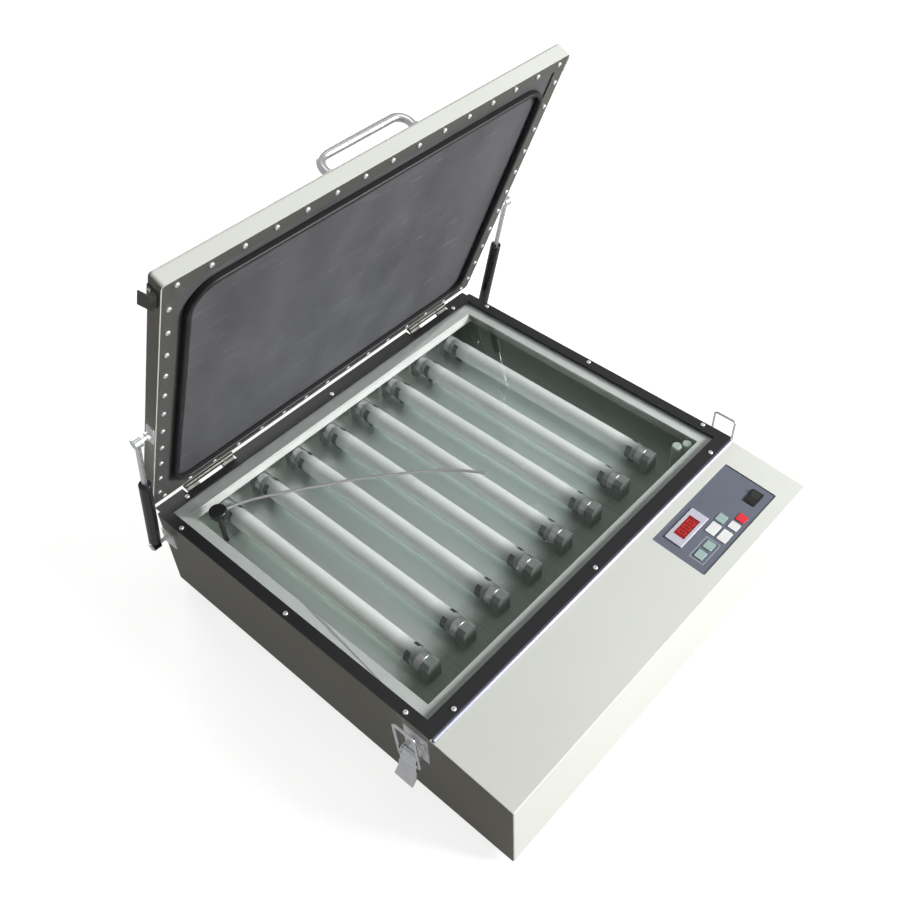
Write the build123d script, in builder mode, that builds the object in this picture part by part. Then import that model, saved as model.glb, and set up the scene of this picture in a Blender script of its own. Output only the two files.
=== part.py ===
from build123d import *
import os
from math import atan2, cos, degrees, hypot, pi, radians, sin, tan

os.makedirs("parts", exist_ok=True)

# Vacuum exposure unit for screen printing: a light box with a glass top and a control
# deck in front of it, and a lid with a rubber blanket that two struts hold open.
# X runs from left to right, Y from the control deck to the hinges, Z up from the floor.
# Heights are given above the cabinet's underside, depths in front of its back face.

# ---------------------------------------------------------------- driving sizes
body_width = 700
box_depth = 572            # light box, from the back face to the control deck
deck_depth = 138
body_height = 155          # up to the top of the black frame
deck_back_height = body_height - 6.5
deck_front_height = body_height - 18
sheet = 1.5                # folded steel sheet of the cabinet and the lid
fold_radius = 3
fit_gap = 0.3              # between pieces that are slid into each other
pin_gap = 0.05             # radial, between a pin and its eye

foot_height = 12
foot_radius = 18
foot_inset = 45

frame_side = 18            # widths of the black frame round the glass
frame_back = 14
frame_front = 22
frame_thickness = 2.5
frame_overhang = 12        # tongues of the black frame behind the back face
glass_thickness = 5
glass_lap = 8              # glass held under the black frame
glass_back_lap = 3.5
gasket_thickness = 2
ledge_side = 19            # grey ledge that shows inside the black frame
ledge_back = 19
ledge_front = 18

trim_width = 5

lid_angle = 67             # between the glass and the raised lid
lid_depth = 25
lid_overhang = 2           # past the front of the black frame when shut
lid_edge_radius = 5
lid_flange_width = 22
hinge_behind = 9           # axis behind the back face
hinge_rise = 5             # axis above the black frame
clamp_width = 24
clamp_thickness = 2
blanket_thickness = 2
bead_inset = 34            # outer edge of the seal bead from the lid's sides
bead_front_inset = 37
bead_back_inset = 31
bead_width = 7
bead_front_radius = 45
bead_back_radius = 40
bead_to_glass = 0.3

knuckle_radius = 5
hinge_pin_radius = 2.5
hinge_centre = body_width / 2 - 105
hinge_length = 90
knuckle_length = 44
knuckle_gap = 1
leaf_thickness = 2
leaf_height = 38

tube_count = 8
tube_side = 93.8           # axis of the outermost tubes from the cabinet's sides
tube_pitch = (body_width - 2 * tube_side) / (tube_count - 1)
tube_radius = 15
tube_length = 438
tube_height = body_height - 40     # axis above the cabinet's underside
tray_height = tube_height - tube_radius - 10
tray_sheet = 1

screw_radius = 2
screw_head_radius = 3.6
screw_head_height = 2
rivet_radius = 1.6
rivet_head_radius = 3
rivet_head_height = 1.4

strut_offset = 22          # strut axis outside the cabinet's side
strut_base_depth = 9
strut_base_height = body_height - 45
strut_lid_along = 232      # upper ball along the lid from the hinge axis
strut_lid_out = 9
strut_radius = 9
strut_bore = 7
strut_rod_radius = 4
strut_wall = 8
strut_start = 12
strut_tube_length = 160
piston_length = 12
ball_radius = 8
stud_radius = 4
bracket_sheet = 2

latch_depth = box_depth - 27
latch_pivot_out = 12
latch_pivot_height = body_height - 51
latch_open_angle = 12      # the hanging levers stand off the cabinet
latch_wire_radius = 2
latch_half_width = 19      # centre line of the bail's legs
latch_plate_width = 44
bail_drop = 14             # bail pivot below the lever pivot
bail_pivot_out = 1
lever_reach = 48
lever_sheet = 2
catch_width = 26
catch_sheet = 1.5

panel_width = 200
panel_depth = 94
panel_centre_x = body_width / 2 - 148.4
panel_centre_depth = 67.7  # along the deck, from its back edge
panel_thickness = 2
button_travel = 1
button_rise = 1.2          # above the panel's face
button_flange = 1          # thickness of the rim that holds a button under the panel
button_rim = 1             # and how far it stands out
rocker_angle = 10

inlet_x = body_width / 2 - 100     # mains inlet in the back wall
inlet_height = 60
inlet_width = 28
inlet_tall = 21
inlet_flange = (50, 26)
inlet_flange_thickness = 3
inlet_length = 24
inlet_mouth = (24, 16)
inlet_mouth_depth = 17
blade_size = (2, 4)
blade_length = 11
blades_at = [(-7, -2), (7, -2), (0, 2)]

handle_bar_radius = 5.75
handle_height = 34
handle_length = 160
handle_centre_x = -7
handle_from_edge = 15
handle_bend = 18
handle_foot_radius = 9

# ---------------------------------------------------------------- worked out from them
half_width = body_width / 2
body_depth = box_depth + deck_depth
opening = radians(lid_angle)
lid_rear = hinge_behind                            # rear wall level with the back face
lid_length = hinge_behind + box_depth + lid_overhang
rear_reach = (
    hinge_behind
    - (lid_rear + lid_edge_radius) * cos(opening)
    + (lid_depth - lid_edge_radius) * sin(opening)
    + lid_edge_radius
)
body_back = (body_depth - rear_reach) / 2          # the origin is under the middle


def y_at(depth):
    """The Y of a depth in front of the cabinet's back face."""
    return body_back - depth


def z_at(height):
    """The Z of a height above the cabinet's underside."""
    return foot_height + height


def level(height):
    """A horizontal plane at a height above the cabinet's underside."""
    return Plane.XY.offset(z_at(height))


def keep(piece, name):
    """Label a finished piece and write it out."""
    piece.part.label = name
    export_step(piece.part, f"parts/{name}.step")


wall_height = body_height - frame_thickness
glass_bottom = wall_height - glass_thickness
ledge_top = glass_bottom - gasket_thickness
ledge_bottom = ledge_top - sheet
inner_half_width = half_width - sheet

frame_hole_width = body_width - 2 * frame_side
frame_hole_depth = box_depth - frame_back - frame_front
frame_hole_y = y_at(frame_back + frame_hole_depth / 2)
ledge_hole_width = frame_hole_width - 2 * ledge_side
ledge_hole_depth = frame_hole_depth - ledge_back - ledge_front
ledge_hole_y = y_at(frame_back + ledge_back + ledge_hole_depth / 2)
glass_width = frame_hole_width + 2 * glass_lap
glass_depth = frame_hole_depth + glass_back_lap + glass_lap
glass_y = y_at(frame_back - glass_back_lap + glass_depth / 2)
box_middle_y = y_at(box_depth / 2)
box_front = y_at(box_depth)
deck_front = y_at(body_depth)

deck_slope = atan2(deck_back_height - deck_front_height, deck_depth)
deck_plane = Plane(
    origin=(
        panel_centre_x,
        box_front - panel_centre_depth * cos(deck_slope),
        z_at(deck_back_height) - panel_centre_depth * sin(deck_slope),
    ),
    x_dir=(1, 0, 0),
    z_dir=(0, -sin(deck_slope), cos(deck_slope)),
)
deck_normal = Axis(deck_plane.origin, deck_plane.z_dir)
panel_plane = deck_plane.offset(-sheet)            # the panel's face, under the deck sheet

hinge_point = Vector(0, y_at(-hinge_behind), z_at(body_height + hinge_rise))
lid_up = Vector(0, -cos(opening), sin(opening))    # from the hinges to the free edge
lid_out = Vector(0, sin(opening), cos(opening))    # away from the glass


def lid_point(x, along, out):
    """A point of the raised lid: along it from the hinge axis, and out from its rim."""
    return hinge_point + Vector(x, 0, 0) + lid_up * along + lid_out * out


def lid_level(out):
    """A plane parallel to the lid, whose local Y runs towards the hinges."""
    return Plane(origin=lid_point(0, 0, out), x_dir=(1, 0, 0), z_dir=lid_out)


def lid_section(x):
    """A plane across the lid: local X along it, local Y out from its rim."""
    return Plane(origin=lid_point(x, 0, 0), x_dir=lid_up, z_dir=(-1, 0, 0))


# The face of the hinge leaves on the lid's rear wall; local Y runs out from the rim.
lid_back_face = Plane(
    origin=lid_point(0, lid_rear - leaf_thickness, 0), x_dir=(-1, 0, 0), z_dir=-lid_up
)
lid_middle = (lid_rear + lid_length) / 2
lid_side_length = lid_length - lid_rear
lid_skin_inside = lid_depth - sheet
flange_bottom = clamp_thickness + blanket_thickness
bead_length = lid_side_length - bead_front_inset - bead_back_inset
bead_middle = lid_rear + bead_back_inset + bead_length / 2
bead_drop = body_height + hinge_rise - wall_height - bead_to_glass

# Screws of the black frame: three along each side.
frame_screw_inset = 7
frame_screw_end = 51
frame_screw_side_x = half_width - frame_screw_inset
frame_screw_row_x = half_width - frame_screw_end
frame_screws_at = []
for depth in (frame_screw_end, box_depth / 2, box_depth - frame_screw_end):
    frame_screws_at += [(-frame_screw_side_x, y_at(depth)), (frame_screw_side_x, y_at(depth))]
for x in (-frame_screw_row_x, 0, frame_screw_row_x):
    frame_screws_at += [(x, y_at(frame_screw_inset)), (x, y_at(box_depth - frame_screw_inset))]

# Screws that clamp the blanket: a row along each end of the lid, a column down each side.
clamp_screw_inset = 11.4
clamp_row_count = 15
clamp_row_end = 21         # from the lid's sides
clamp_row_pitch = (body_width - 2 * clamp_row_end) / (clamp_row_count - 1)
clamp_column_count = 11
clamp_column_first = 51    # from the free edge
clamp_column_last = 45     # from the hinge axis
clamp_column_pitch = (lid_length - clamp_column_first - clamp_column_last) / (clamp_column_count - 1)
clamp_screws_at = []
for along in (lid_length - clamp_screw_inset, lid_rear + clamp_screw_inset):
    for i in range(clamp_row_count):
        clamp_screws_at.append(((i - (clamp_row_count - 1) / 2) * clamp_row_pitch, -along))
for i in range(clamp_column_count):
    along = lid_length - clamp_column_first - i * clamp_column_pitch
    clamp_screws_at.append((half_width - clamp_screw_inset, -along))
    clamp_screws_at.append((clamp_screw_inset - half_width, -along))

tubes_x = [(i - (tube_count - 1) / 2) * tube_pitch for i in range(tube_count)]
tube_back = ledge_back + frame_back + 1
tube_middle_y = y_at(tube_back + tube_length / 2)

port_x = 62 - half_width
port_depth = 68
port_radius = 14
port_height = 8
port_stem_radius = 6

# Rivets and screws through the cabinet's side walls, (Y, Z).
strut_base_y = y_at(strut_base_depth)
strut_base_z = z_at(strut_base_height)
bracket_half = 15
bracket_rivet = 9
strut_rivets_at = [
    (y_at(bracket_half + fit_gap) + dy, strut_base_z + dz)
    for dy in (-bracket_rivet, bracket_rivet)
    for dz in (-bracket_rivet, bracket_rivet)
]
latch_y = y_at(latch_depth)
latch_rivet_y = 12
latch_rivets_at = [
    (latch_y + dy, z_at(latch_pivot_height + dz))
    for dy in (-latch_rivet_y, latch_rivet_y)
    for dz in (16, 30)
]
hinge_screw_pitch = 32
body_leaf_bottom = body_height - 2 * leaf_thickness - leaf_height
hinge_screw_z = body_leaf_bottom + 0.4 * leaf_height
hinge_screws_x = [
    side * hinge_centre + dx
    for side in (-1, 1)
    for dx in (-hinge_screw_pitch, 0, hinge_screw_pitch)
]

# ---------------------------------------------------------------- cabinet
# One folded housing: the light box with its inner ledge, and the sloping control deck.
with BuildPart() as base_housing:
    with BuildSketch(Plane.YZ):
        with BuildLine():
            Polyline(
                (y_at(0), z_at(sheet)),
                (y_at(0), z_at(wall_height)),
                (box_front, z_at(wall_height)),
                (box_front, z_at(deck_back_height)),
                (deck_front, z_at(deck_front_height)),
                (deck_front, z_at(sheet)),
                close=True,
            )
        make_face()
    extrude(amount=half_width, both=True)
    uprights = base_housing.edges().filter_by(Axis.Z).group_by(Axis.Y)
    fillet(uprights[0] + uprights[-1], radius=fold_radius)
    deck_edges = base_housing.edges().filter_by(Axis.X).group_by(Axis.Y)[0]
    fillet(deck_edges.sort_by(Axis.Z)[-1], radius=fold_radius - sheet)
    # inside of the light box under the ledge, the ledge's opening, and the seat above it
    with BuildSketch(level(sheet)):
        with Locations((0, box_middle_y)):
            Rectangle(2 * inner_half_width, box_depth - 2 * sheet)
    extrude(amount=ledge_bottom - sheet, mode=Mode.SUBTRACT)
    with BuildSketch(level(ledge_bottom)):
        with Locations((0, ledge_hole_y)):
            Rectangle(ledge_hole_width, ledge_hole_depth)
    extrude(amount=sheet, mode=Mode.SUBTRACT)
    with BuildSketch(level(ledge_top)):
        with Locations((0, box_middle_y)):
            Rectangle(2 * inner_half_width, box_depth - 2 * sheet)
    extrude(amount=wall_height - ledge_top, mode=Mode.SUBTRACT)
    # inside of the control deck
    with BuildSketch(Plane.YZ):
        with BuildLine():
            Polyline(
                (box_front, z_at(sheet)),
                (box_front, z_at(deck_back_height - sheet / cos(deck_slope))),
                (
                    deck_front + sheet,
                    z_at(deck_front_height + sheet * tan(deck_slope) - sheet / cos(deck_slope)),
                ),
                (deck_front + sheet, z_at(sheet)),
                close=True,
            )
        make_face()
    extrude(amount=inner_half_width, both=True, mode=Mode.SUBTRACT)
    # holes: the panel, the frame's screws, the rivets of the struts and latches, the hinges
    with BuildSketch(deck_plane):
        RectangleRounded(panel_width, panel_depth, fold_radius)
    extrude(amount=-2 * sheet, mode=Mode.SUBTRACT)
    with BuildSketch(level(ledge_bottom)):
        with Locations(*frame_screws_at):
            Circle(screw_radius + fit_gap / 2)
    extrude(amount=sheet, mode=Mode.SUBTRACT)
    with BuildSketch(Plane.YZ):
        with Locations(*strut_rivets_at, *latch_rivets_at):
            Circle(rivet_radius + pin_gap)
    extrude(amount=half_width, both=True, mode=Mode.SUBTRACT)
    with BuildSketch(Plane.XZ.offset(-y_at(0))):
        with Locations(*[(x, z_at(hinge_screw_z)) for x in hinge_screws_x]):
            Circle(screw_radius + pin_gap)
    extrude(amount=sheet, mode=Mode.SUBTRACT)
    # cut-out of the mains inlet
    with BuildSketch(Plane.XZ.offset(-y_at(0))):
        with Locations((inlet_x, z_at(inlet_height))):
            Rectangle(inlet_width + 2 * pin_gap, inlet_tall + 2 * pin_gap)
    extrude(amount=sheet, mode=Mode.SUBTRACT)
keep(base_housing, "base_housing")

with BuildPart() as bottom_plate:
    with BuildSketch(level(0)):
        with Locations((0, y_at(body_depth / 2))):
            RectangleRounded(body_width, body_depth, fold_radius)
    extrude(amount=sheet)
keep(bottom_plate, "bottom_plate")

with BuildPart() as rubber_feet:
    with BuildSketch(Plane.XY):
        with Locations((0, y_at(body_depth / 2))):
            with GridLocations(body_width - 2 * foot_inset, body_depth - 2 * foot_inset, 2, 2):
                Circle(foot_radius)
    extrude(amount=foot_height, taper=-4)
keep(rubber_feet, "rubber_feet")

# Bright strip along the step between the black frame and the deck.
with BuildPart() as front_trim_strip:
    with BuildSketch(level(deck_back_height)):
        with Locations((0, box_front - trim_width / 2)):
            Rectangle(body_width - 2 * fold_radius, trim_width)
    extrude(amount=wall_height - deck_back_height)
    ridge = front_trim_strip.edges().filter_by(Axis.X).group_by(Axis.Y)[0].sort_by(Axis.Z)[-1]
    chamfer(ridge, length=wall_height - deck_back_height - 1, length2=trim_width / 2)
keep(front_trim_strip, "front_trim_strip")

# ---------------------------------------------------------------- glass and its frame
# Tongues beside and between the hinges shut off the light behind the raised lid.
tongue_length = frame_overhang + fold_radius
hinge_space = hinge_length / 2 + 4
tongues_x = [
    (2 * fold_radius - half_width, -hinge_centre - hinge_space),
    (hinge_space - hinge_centre, hinge_centre - hinge_space),
    (hinge_centre + hinge_space, half_width - 2 * fold_radius),
]
with BuildPart() as glass_frame:
    with BuildSketch(level(wall_height)):
        with Locations((0, box_middle_y)):
            RectangleRounded(body_width, box_depth, fold_radius)
        for low, high in tongues_x:
            with Locations(((low + high) / 2, y_at(fold_radius) + tongue_length / 2)):
                Rectangle(high - low, tongue_length)
        with Locations((0, frame_hole_y)):
            Rectangle(frame_hole_width, frame_hole_depth, mode=Mode.SUBTRACT)
        with Locations(*frame_screws_at):
            Circle(screw_radius + pin_gap, mode=Mode.SUBTRACT)
    extrude(amount=frame_thickness)
keep(glass_frame, "glass_frame")


def pan_screws(places, head_radius, head_height, shank_radius, shank_length):
    """Pan-head screws or rivets: places pairs each face with the points on it."""
    with BuildPart() as screws:
        for face, points in places:
            with BuildSketch(face):
                with Locations(*points):
                    Circle(head_radius)
            extrude(amount=head_height)
        crowns = screws.faces().filter_by(
            lambda f: any(
                abs((f.center() - face.origin).dot(face.z_dir) - head_height) < 0.01
                and abs(f.normal_at().dot(face.z_dir)) > 0.99
                for face, points in places
            )
        )
        fillet(crowns.edges(), radius=0.6 * head_height)
        for face, points in places:
            with BuildSketch(face):
                with Locations(*points):
                    Circle(shank_radius)
            extrude(amount=-shank_length)
    return screws


frame_screws = pan_screws(
    [(level(body_height), frame_screws_at)],
    screw_head_radius,
    screw_head_height,
    screw_radius,
    body_height - ledge_bottom + sheet,
)
keep(frame_screws, "frame_screws")

with BuildPart() as ledge_gasket:
    with BuildSketch(level(ledge_top)):
        with Locations((0, glass_y)):
            Rectangle(glass_width, glass_depth)
        with Locations((0, ledge_hole_y)):
            Rectangle(ledge_hole_width, ledge_hole_depth, mode=Mode.SUBTRACT)
    extrude(amount=gasket_thickness)
keep(ledge_gasket, "ledge_gasket")

with BuildPart() as glass_plate:
    with BuildSketch(level(glass_bottom)):
        with Locations((0, glass_y)):
            Rectangle(glass_width, glass_depth)
        with Locations((port_x, y_at(port_depth))):
            Circle(port_stem_radius + pin_gap, mode=Mode.SUBTRACT)
    extrude(amount=glass_thickness)
keep(glass_plate, "glass_plate")

# Vacuum port: a black button on the glass, its stem through it, a nut and a hose tail below.
port_nut_radius = 10
port_nut_thickness = 4
hose_radius = 4
hose_bore = 2.5
port_tail_length = 14
with BuildPart() as vacuum_port:
    with BuildSketch(level(wall_height)):
        with Locations((port_x, y_at(port_depth))):
            Circle(port_radius)
    extrude(amount=port_height)
    fillet(vacuum_port.edges().group_by(Axis.Z)[-1], radius=port_height / 3)
    with BuildSketch(level(wall_height)):
        with Locations((port_x, y_at(port_depth))):
            Circle(port_stem_radius)
    extrude(amount=-glass_thickness)
    with BuildSketch(level(glass_bottom)):
        with Locations((port_x, y_at(port_depth))):
            RegularPolygon(port_nut_radius, 6)
    extrude(amount=-port_nut_thickness)
    with BuildSketch(level(glass_bottom - port_nut_thickness)):
        with Locations((port_x, y_at(port_depth))):
            Circle(hose_bore)
    extrude(amount=-port_tail_length)
keep(vacuum_port, "vacuum_port")

# The bleeder cord lies on the glass from the port towards the middle.
cord_radius = 2.25
cord_z = z_at(wall_height) + cord_radius
cord_route = [
    (-274.5, 71.6),
    (-252, 78),
    (-220, 97),
    (-182, 123),
    (-143, 151),
    (-104, 178),
    (-64, 213),
    (-33, 238),
    (-6, 264),
    (18, 294),
    (35, 322),
]
cord_points = [Vector(x, y_at(depth), cord_z) for x, depth in cord_route]


def arc_radii(points):
    """Each corner's largest arc: 0.45 of its shorter run over the tangent of half the turn."""
    radii = []
    for before, corner, after in zip(points, points[1:], points[2:]):
        run_in, run_out = corner - before, after - corner
        shorter = min(run_in.length, run_out.length)
        radii.append(0.45 * shorter / tan(radians(run_in.get_angle(run_out)) / 2))
    return radii


with BuildPart() as bleeder_cord:
    with BuildLine():
        cord_line = FilletPolyline(*cord_points, radius=arc_radii(cord_points))
    with BuildSketch(Plane(origin=cord_line @ 0, z_dir=cord_line % 0)):
        Circle(cord_radius)
    sweep()
    # the button's round side, which the cord meets
    with BuildSketch(level(wall_height)):
        with Locations((port_x, y_at(port_depth))):
            Circle(port_radius)
    extrude(amount=port_height, mode=Mode.SUBTRACT)
keep(bleeder_cord, "bleeder_cord")
cord_section = pi * cord_radius**2
print("cord radii", [round(r) for r in arc_radii(cord_points)])
print("cord length", round(cord_line.length, 1), "volume", round(bleeder_cord.part.volume, 1))
print("section x length", round(cord_section * cord_line.length, 1))

# ---------------------------------------------------------------- inside the light box
tray_leg_height = tray_height - tray_sheet - sheet
tray_half_width = inner_half_width - fit_gap
tray_depth = box_depth - 2 * sheet - 2 * fit_gap
hose_hole_radius = hose_radius + 1
with BuildPart() as reflector_tray:
    with BuildSketch(level(sheet)):
        with Locations((0, box_middle_y)):
            Rectangle(2 * tray_half_width, tray_depth)
    extrude(amount=tray_height - sheet)
    with BuildSketch(level(sheet)):
        with Locations((0, box_middle_y)):
            Rectangle(2 * (tray_half_width - tray_sheet), tray_depth)
    extrude(amount=tray_leg_height, mode=Mode.SUBTRACT)
    with BuildSketch(level(tray_height)):
        with Locations((port_x, y_at(port_depth))):
            Circle(hose_hole_radius)
    extrude(amount=-2 * tray_sheet, mode=Mode.SUBTRACT)
keep(reflector_tray, "reflector_tray")

# White rails under the ledge, front and back, that close off the lamp ends.
rail_drop = 13
rail_flange = 16
rail_sheet = 1.2
with BuildPart() as lamp_rails:
    for depth, inward in ((frame_back + ledge_back, 1), (box_depth - frame_front - ledge_front, -1)):
        with BuildSketch(level(ledge_bottom)):
            with Locations((0, y_at(depth + inward * rail_sheet / 2))):
                Rectangle(ledge_hole_width, rail_sheet)
        extrude(amount=-rail_drop)
        with BuildSketch(level(ledge_bottom)):
            with Locations((0, y_at(depth - inward * rail_flange / 2))):
                Rectangle(ledge_hole_width, rail_flange)
        extrude(amount=-rail_sheet)
keep(lamp_rails, "lamp_rails")

cap_length = 12
tube_wall = 1
with BuildPart() as uv_tubes:
    for radius, mode in ((tube_radius, Mode.ADD), (tube_radius - tube_wall, Mode.SUBTRACT)):
        with BuildSketch(Plane.XZ.offset(-tube_middle_y)):
            with Locations(*[(x, z_at(tube_height)) for x in tubes_x]):
                Circle(radius)
        extrude(amount=tube_length / 2 - cap_length, both=True, mode=mode)
keep(uv_tubes, "uv_tubes")

pin_radius = 1.2
pin_length = 6
pin_spread = 12.7
tube_ends = [
    (tube_middle_y + tube_length / 2, 1),
    (tube_middle_y - tube_length / 2, -1),
]
with BuildPart() as tube_caps:
    for end_y, outward in tube_ends:
        with BuildSketch(Plane.XZ.offset(-end_y)):
            with Locations(*[(x, z_at(tube_height)) for x in tubes_x]):
                Circle(tube_radius)
        extrude(amount=outward * cap_length)
    fillet(tube_caps.faces().filter_by(Axis.Y).group_by(Axis.Y)[-1].edges(), radius=2)
    fillet(tube_caps.faces().filter_by(Axis.Y).group_by(Axis.Y)[0].edges(), radius=2)
    for end_y, outward in tube_ends:
        with BuildSketch(Plane.XZ.offset(-end_y)):
            with Locations(*[(x, z_at(tube_height)) for x in tubes_x]):
                with GridLocations(pin_spread, 0.0, 2, 1):
                    Circle(pin_radius)
        extrude(amount=-outward * pin_length)
keep(tube_caps, "tube_caps")

holder_width = 26
holder_thickness = 14
holder_rise = 14           # above the tube's axis
holder_chamfer = 6
with BuildPart() as lampholders:
    for end_y, outward in tube_ends:
        with BuildSketch(Plane.XZ.offset(-end_y)):
            for x in tubes_x:
                with BuildLine():
                    Polyline(
                        (x - holder_width / 2, z_at(tray_height)),
                        (x + holder_width / 2, z_at(tray_height)),
                        (x + holder_width / 2, z_at(tube_height + holder_rise - holder_chamfer)),
                        (x + holder_width / 2 - holder_chamfer, z_at(tube_height + holder_rise)),
                        (x - holder_width / 2 + holder_chamfer, z_at(tube_height + holder_rise)),
                        (x - holder_width / 2, z_at(tube_height + holder_rise - holder_chamfer)),
                        close=True,
                    )
                make_face()
        extrude(amount=-outward * holder_thickness)
        with BuildSketch(Plane.XZ.offset(-end_y)):
            with Locations(*[(x, z_at(tube_height)) for x in tubes_x]):
                with GridLocations(pin_spread, 0.0, 2, 1):
                    Circle(pin_radius + pin_gap)
        extrude(amount=-outward * (pin_length + fit_gap), mode=Mode.SUBTRACT)
keep(lampholders, "lampholders")

# Spring clips that hold the tubes near their ends, open at the top.
clip_sheet = 0.8
clip_width = 9
clip_depth = 26            # from the tube's end
clip_opening = 15
clip_foot = tube_height - tube_radius - tray_height
with BuildPart() as tube_clips:
    for end_y, outward in tube_ends:
        clip_y = end_y - outward * clip_depth
        with BuildSketch(Plane.XZ.offset(-clip_y)):
            with Locations(*[(x, z_at(tube_height)) for x in tubes_x]):
                Circle(tube_radius + pin_gap + clip_sheet)
                Circle(tube_radius + pin_gap, mode=Mode.SUBTRACT)
            with Locations(*[(x, z_at(tube_height + tube_radius)) for x in tubes_x]):
                Rectangle(clip_opening, tube_radius, mode=Mode.SUBTRACT)
            with Locations(*[(x, z_at(tray_height + clip_foot / 2)) for x in tubes_x]):
                Rectangle(clip_width, clip_foot)
        extrude(amount=clip_width / 2, both=True)
        with BuildSketch(Plane.XZ.offset(-clip_y)):
            with Locations(*[(x, z_at(tube_height)) for x in tubes_x]):
                Circle(tube_radius + pin_gap)
        extrude(amount=clip_width / 2, both=True, mode=Mode.SUBTRACT)
keep(tube_clips, "tube_clips")

# Two starters on their sockets in the front right corner.
starter_radius = 8
starter_top = ledge_bottom - 2
starters_at = [
    (half_width - 61, y_at(box_depth - 63)),
    (half_width - 46, y_at(box_depth - 53)),
]
with BuildPart() as lamp_starters:
    with BuildSketch(level(tray_height)):
        with Locations(*starters_at):
            Circle(starter_radius)
    extrude(amount=starter_top - tray_height)
    fillet(lamp_starters.edges().group_by(Axis.Z)[-1], radius=2)
keep(lamp_starters, "lamp_starters")

ballast_size = (230, 42, 30)
ballast_pitch = 78
ballast_x = 150
with BuildPart() as ballasts:
    with BuildSketch(level(sheet)):
        with Locations((ballast_x, box_middle_y)):
            with GridLocations(0, ballast_pitch, 1, tube_count // 2):
                RectangleRounded(ballast_size[0], ballast_size[1], 3)
    extrude(amount=ballast_size[2])
keep(ballasts, "ballasts")

# Vacuum pump: motor block, head and the barb that the hose is pushed on.
pump_x = 180 - half_width
pump_depth = 200
pump_size = (110, 80, 60)
barb_height = 45
barb_length = 12
with BuildPart() as vacuum_pump:
    with BuildSketch(level(sheet)):
        with Locations((pump_x, y_at(pump_depth))):
            RectangleRounded(pump_size[0], pump_size[1], 8)
    extrude(amount=pump_size[2])
    fillet(vacuum_pump.edges().group_by(Axis.Z)[-1], radius=5)
    with BuildSketch(Plane.YZ.offset(pump_x - pump_size[0] / 2)):
        with Locations((y_at(pump_depth), z_at(barb_height))):
            Circle(hose_bore)
    extrude(amount=-barb_length)
keep(vacuum_pump, "vacuum_pump")

hose_top = glass_bottom - port_nut_thickness
hose_bend = 30
hose_points = [
    (port_x, y_at(port_depth), z_at(hose_top)),
    (port_x, y_at(port_depth), z_at(barb_height)),
    (port_x, y_at(pump_depth), z_at(barb_height)),
    (pump_x - pump_size[0] / 2, y_at(pump_depth), z_at(barb_height)),
]
with BuildPart() as vacuum_hose:
    with BuildLine():
        hose_line = FilletPolyline(*hose_points, radius=hose_bend)
    with BuildSketch(level(hose_top)):
        with Locations((port_x, y_at(port_depth))):
            Circle(hose_radius)
            Circle(hose_bore + pin_gap, mode=Mode.SUBTRACT)
    sweep(path=hose_line)
keep(vacuum_hose, "vacuum_hose")

# ---------------------------------------------------------------- control panel
with BuildPart() as mains_inlet:
    with BuildSketch(Plane.XZ.offset(-y_at(0))):
        with Locations((inlet_x, z_at(inlet_height))):
            RectangleRounded(*inlet_flange, 4)
    extrude(amount=-inlet_flange_thickness)
    with BuildSketch(Plane.XZ.offset(-y_at(0))):
        with Locations((inlet_x, z_at(inlet_height))):
            Rectangle(inlet_width, inlet_tall)
    extrude(amount=inlet_length)
    with BuildSketch(Plane.XZ.offset(-y_at(0) - inlet_flange_thickness)):
        with Locations((inlet_x, z_at(inlet_height))):
            Rectangle(*inlet_mouth)
    extrude(amount=inlet_mouth_depth, mode=Mode.SUBTRACT)
    with BuildSketch(Plane.XZ.offset(inlet_mouth_depth - y_at(0) - inlet_flange_thickness)):
        with Locations((inlet_x, z_at(inlet_height))):
            with Locations(*blades_at):
                Rectangle(*blade_size)
    extrude(amount=-blade_length)
keep(mains_inlet, "mains_inlet")

# Places on the panel, from its middle: right and towards the light box.
button_sizes = {
    "button_white_upper": (-19.5, -9.6, 24, 16),
    "button_white_lower": (-19.8, -30.1, 24, 16),
    "button_white_small": (6, -30.4, 15.5, 16),
    "button_red": (26.5, -31, 16, 15),
    "button_green_right": (5.2, -8.2, 17, 15),
    "button_green_middle": (-50.1, -22.7, 16.5, 14.5),
    "button_green_left": (-72.7, -22.3, 16.5, 14.5),
}
bezel_at = (-46.1, 21)
bezel_size = (74, 31)
bezel_rise = 2
window_size = (44, 19)
window_gap = 0.2
window_sunk = 0.6
window_margin = 2           # of the panel's opening round the window
rocker_at = (73, -22.8)
rocker_frame = (30, 20)
rocker_frame_rise = 1.6
rocker_size = (25, 14.5)
rocker_depth = 16
rocker_body = (28, 18)
rocker_face = 3            # faces of the rocker from its pivot
rocker_radius = rocker_size[0] / 2
rocker_pin_radius = 1.5
rocker_swing = 2 * rocker_angle
panel_lip = 6
with BuildPart() as control_panel:
    with BuildSketch(panel_plane):
        Rectangle(panel_width + 2 * panel_lip, panel_depth + 2 * panel_lip)
        for x, y, width, tall in button_sizes.values():
            with Locations((x, y)):
                Rectangle(width + 2 * fit_gap, tall + 2 * fit_gap, mode=Mode.SUBTRACT)
        with Locations(bezel_at):
            Rectangle(
                window_size[0] + 2 * window_margin,
                window_size[1] + 2 * window_margin,
                mode=Mode.SUBTRACT,
            )
        with Locations(rocker_at):
            Rectangle(rocker_body[0] + 2 * pin_gap, rocker_body[1] + 2 * pin_gap, mode=Mode.SUBTRACT)
    extrude(amount=-panel_thickness)
keep(control_panel, "control_panel")

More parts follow.
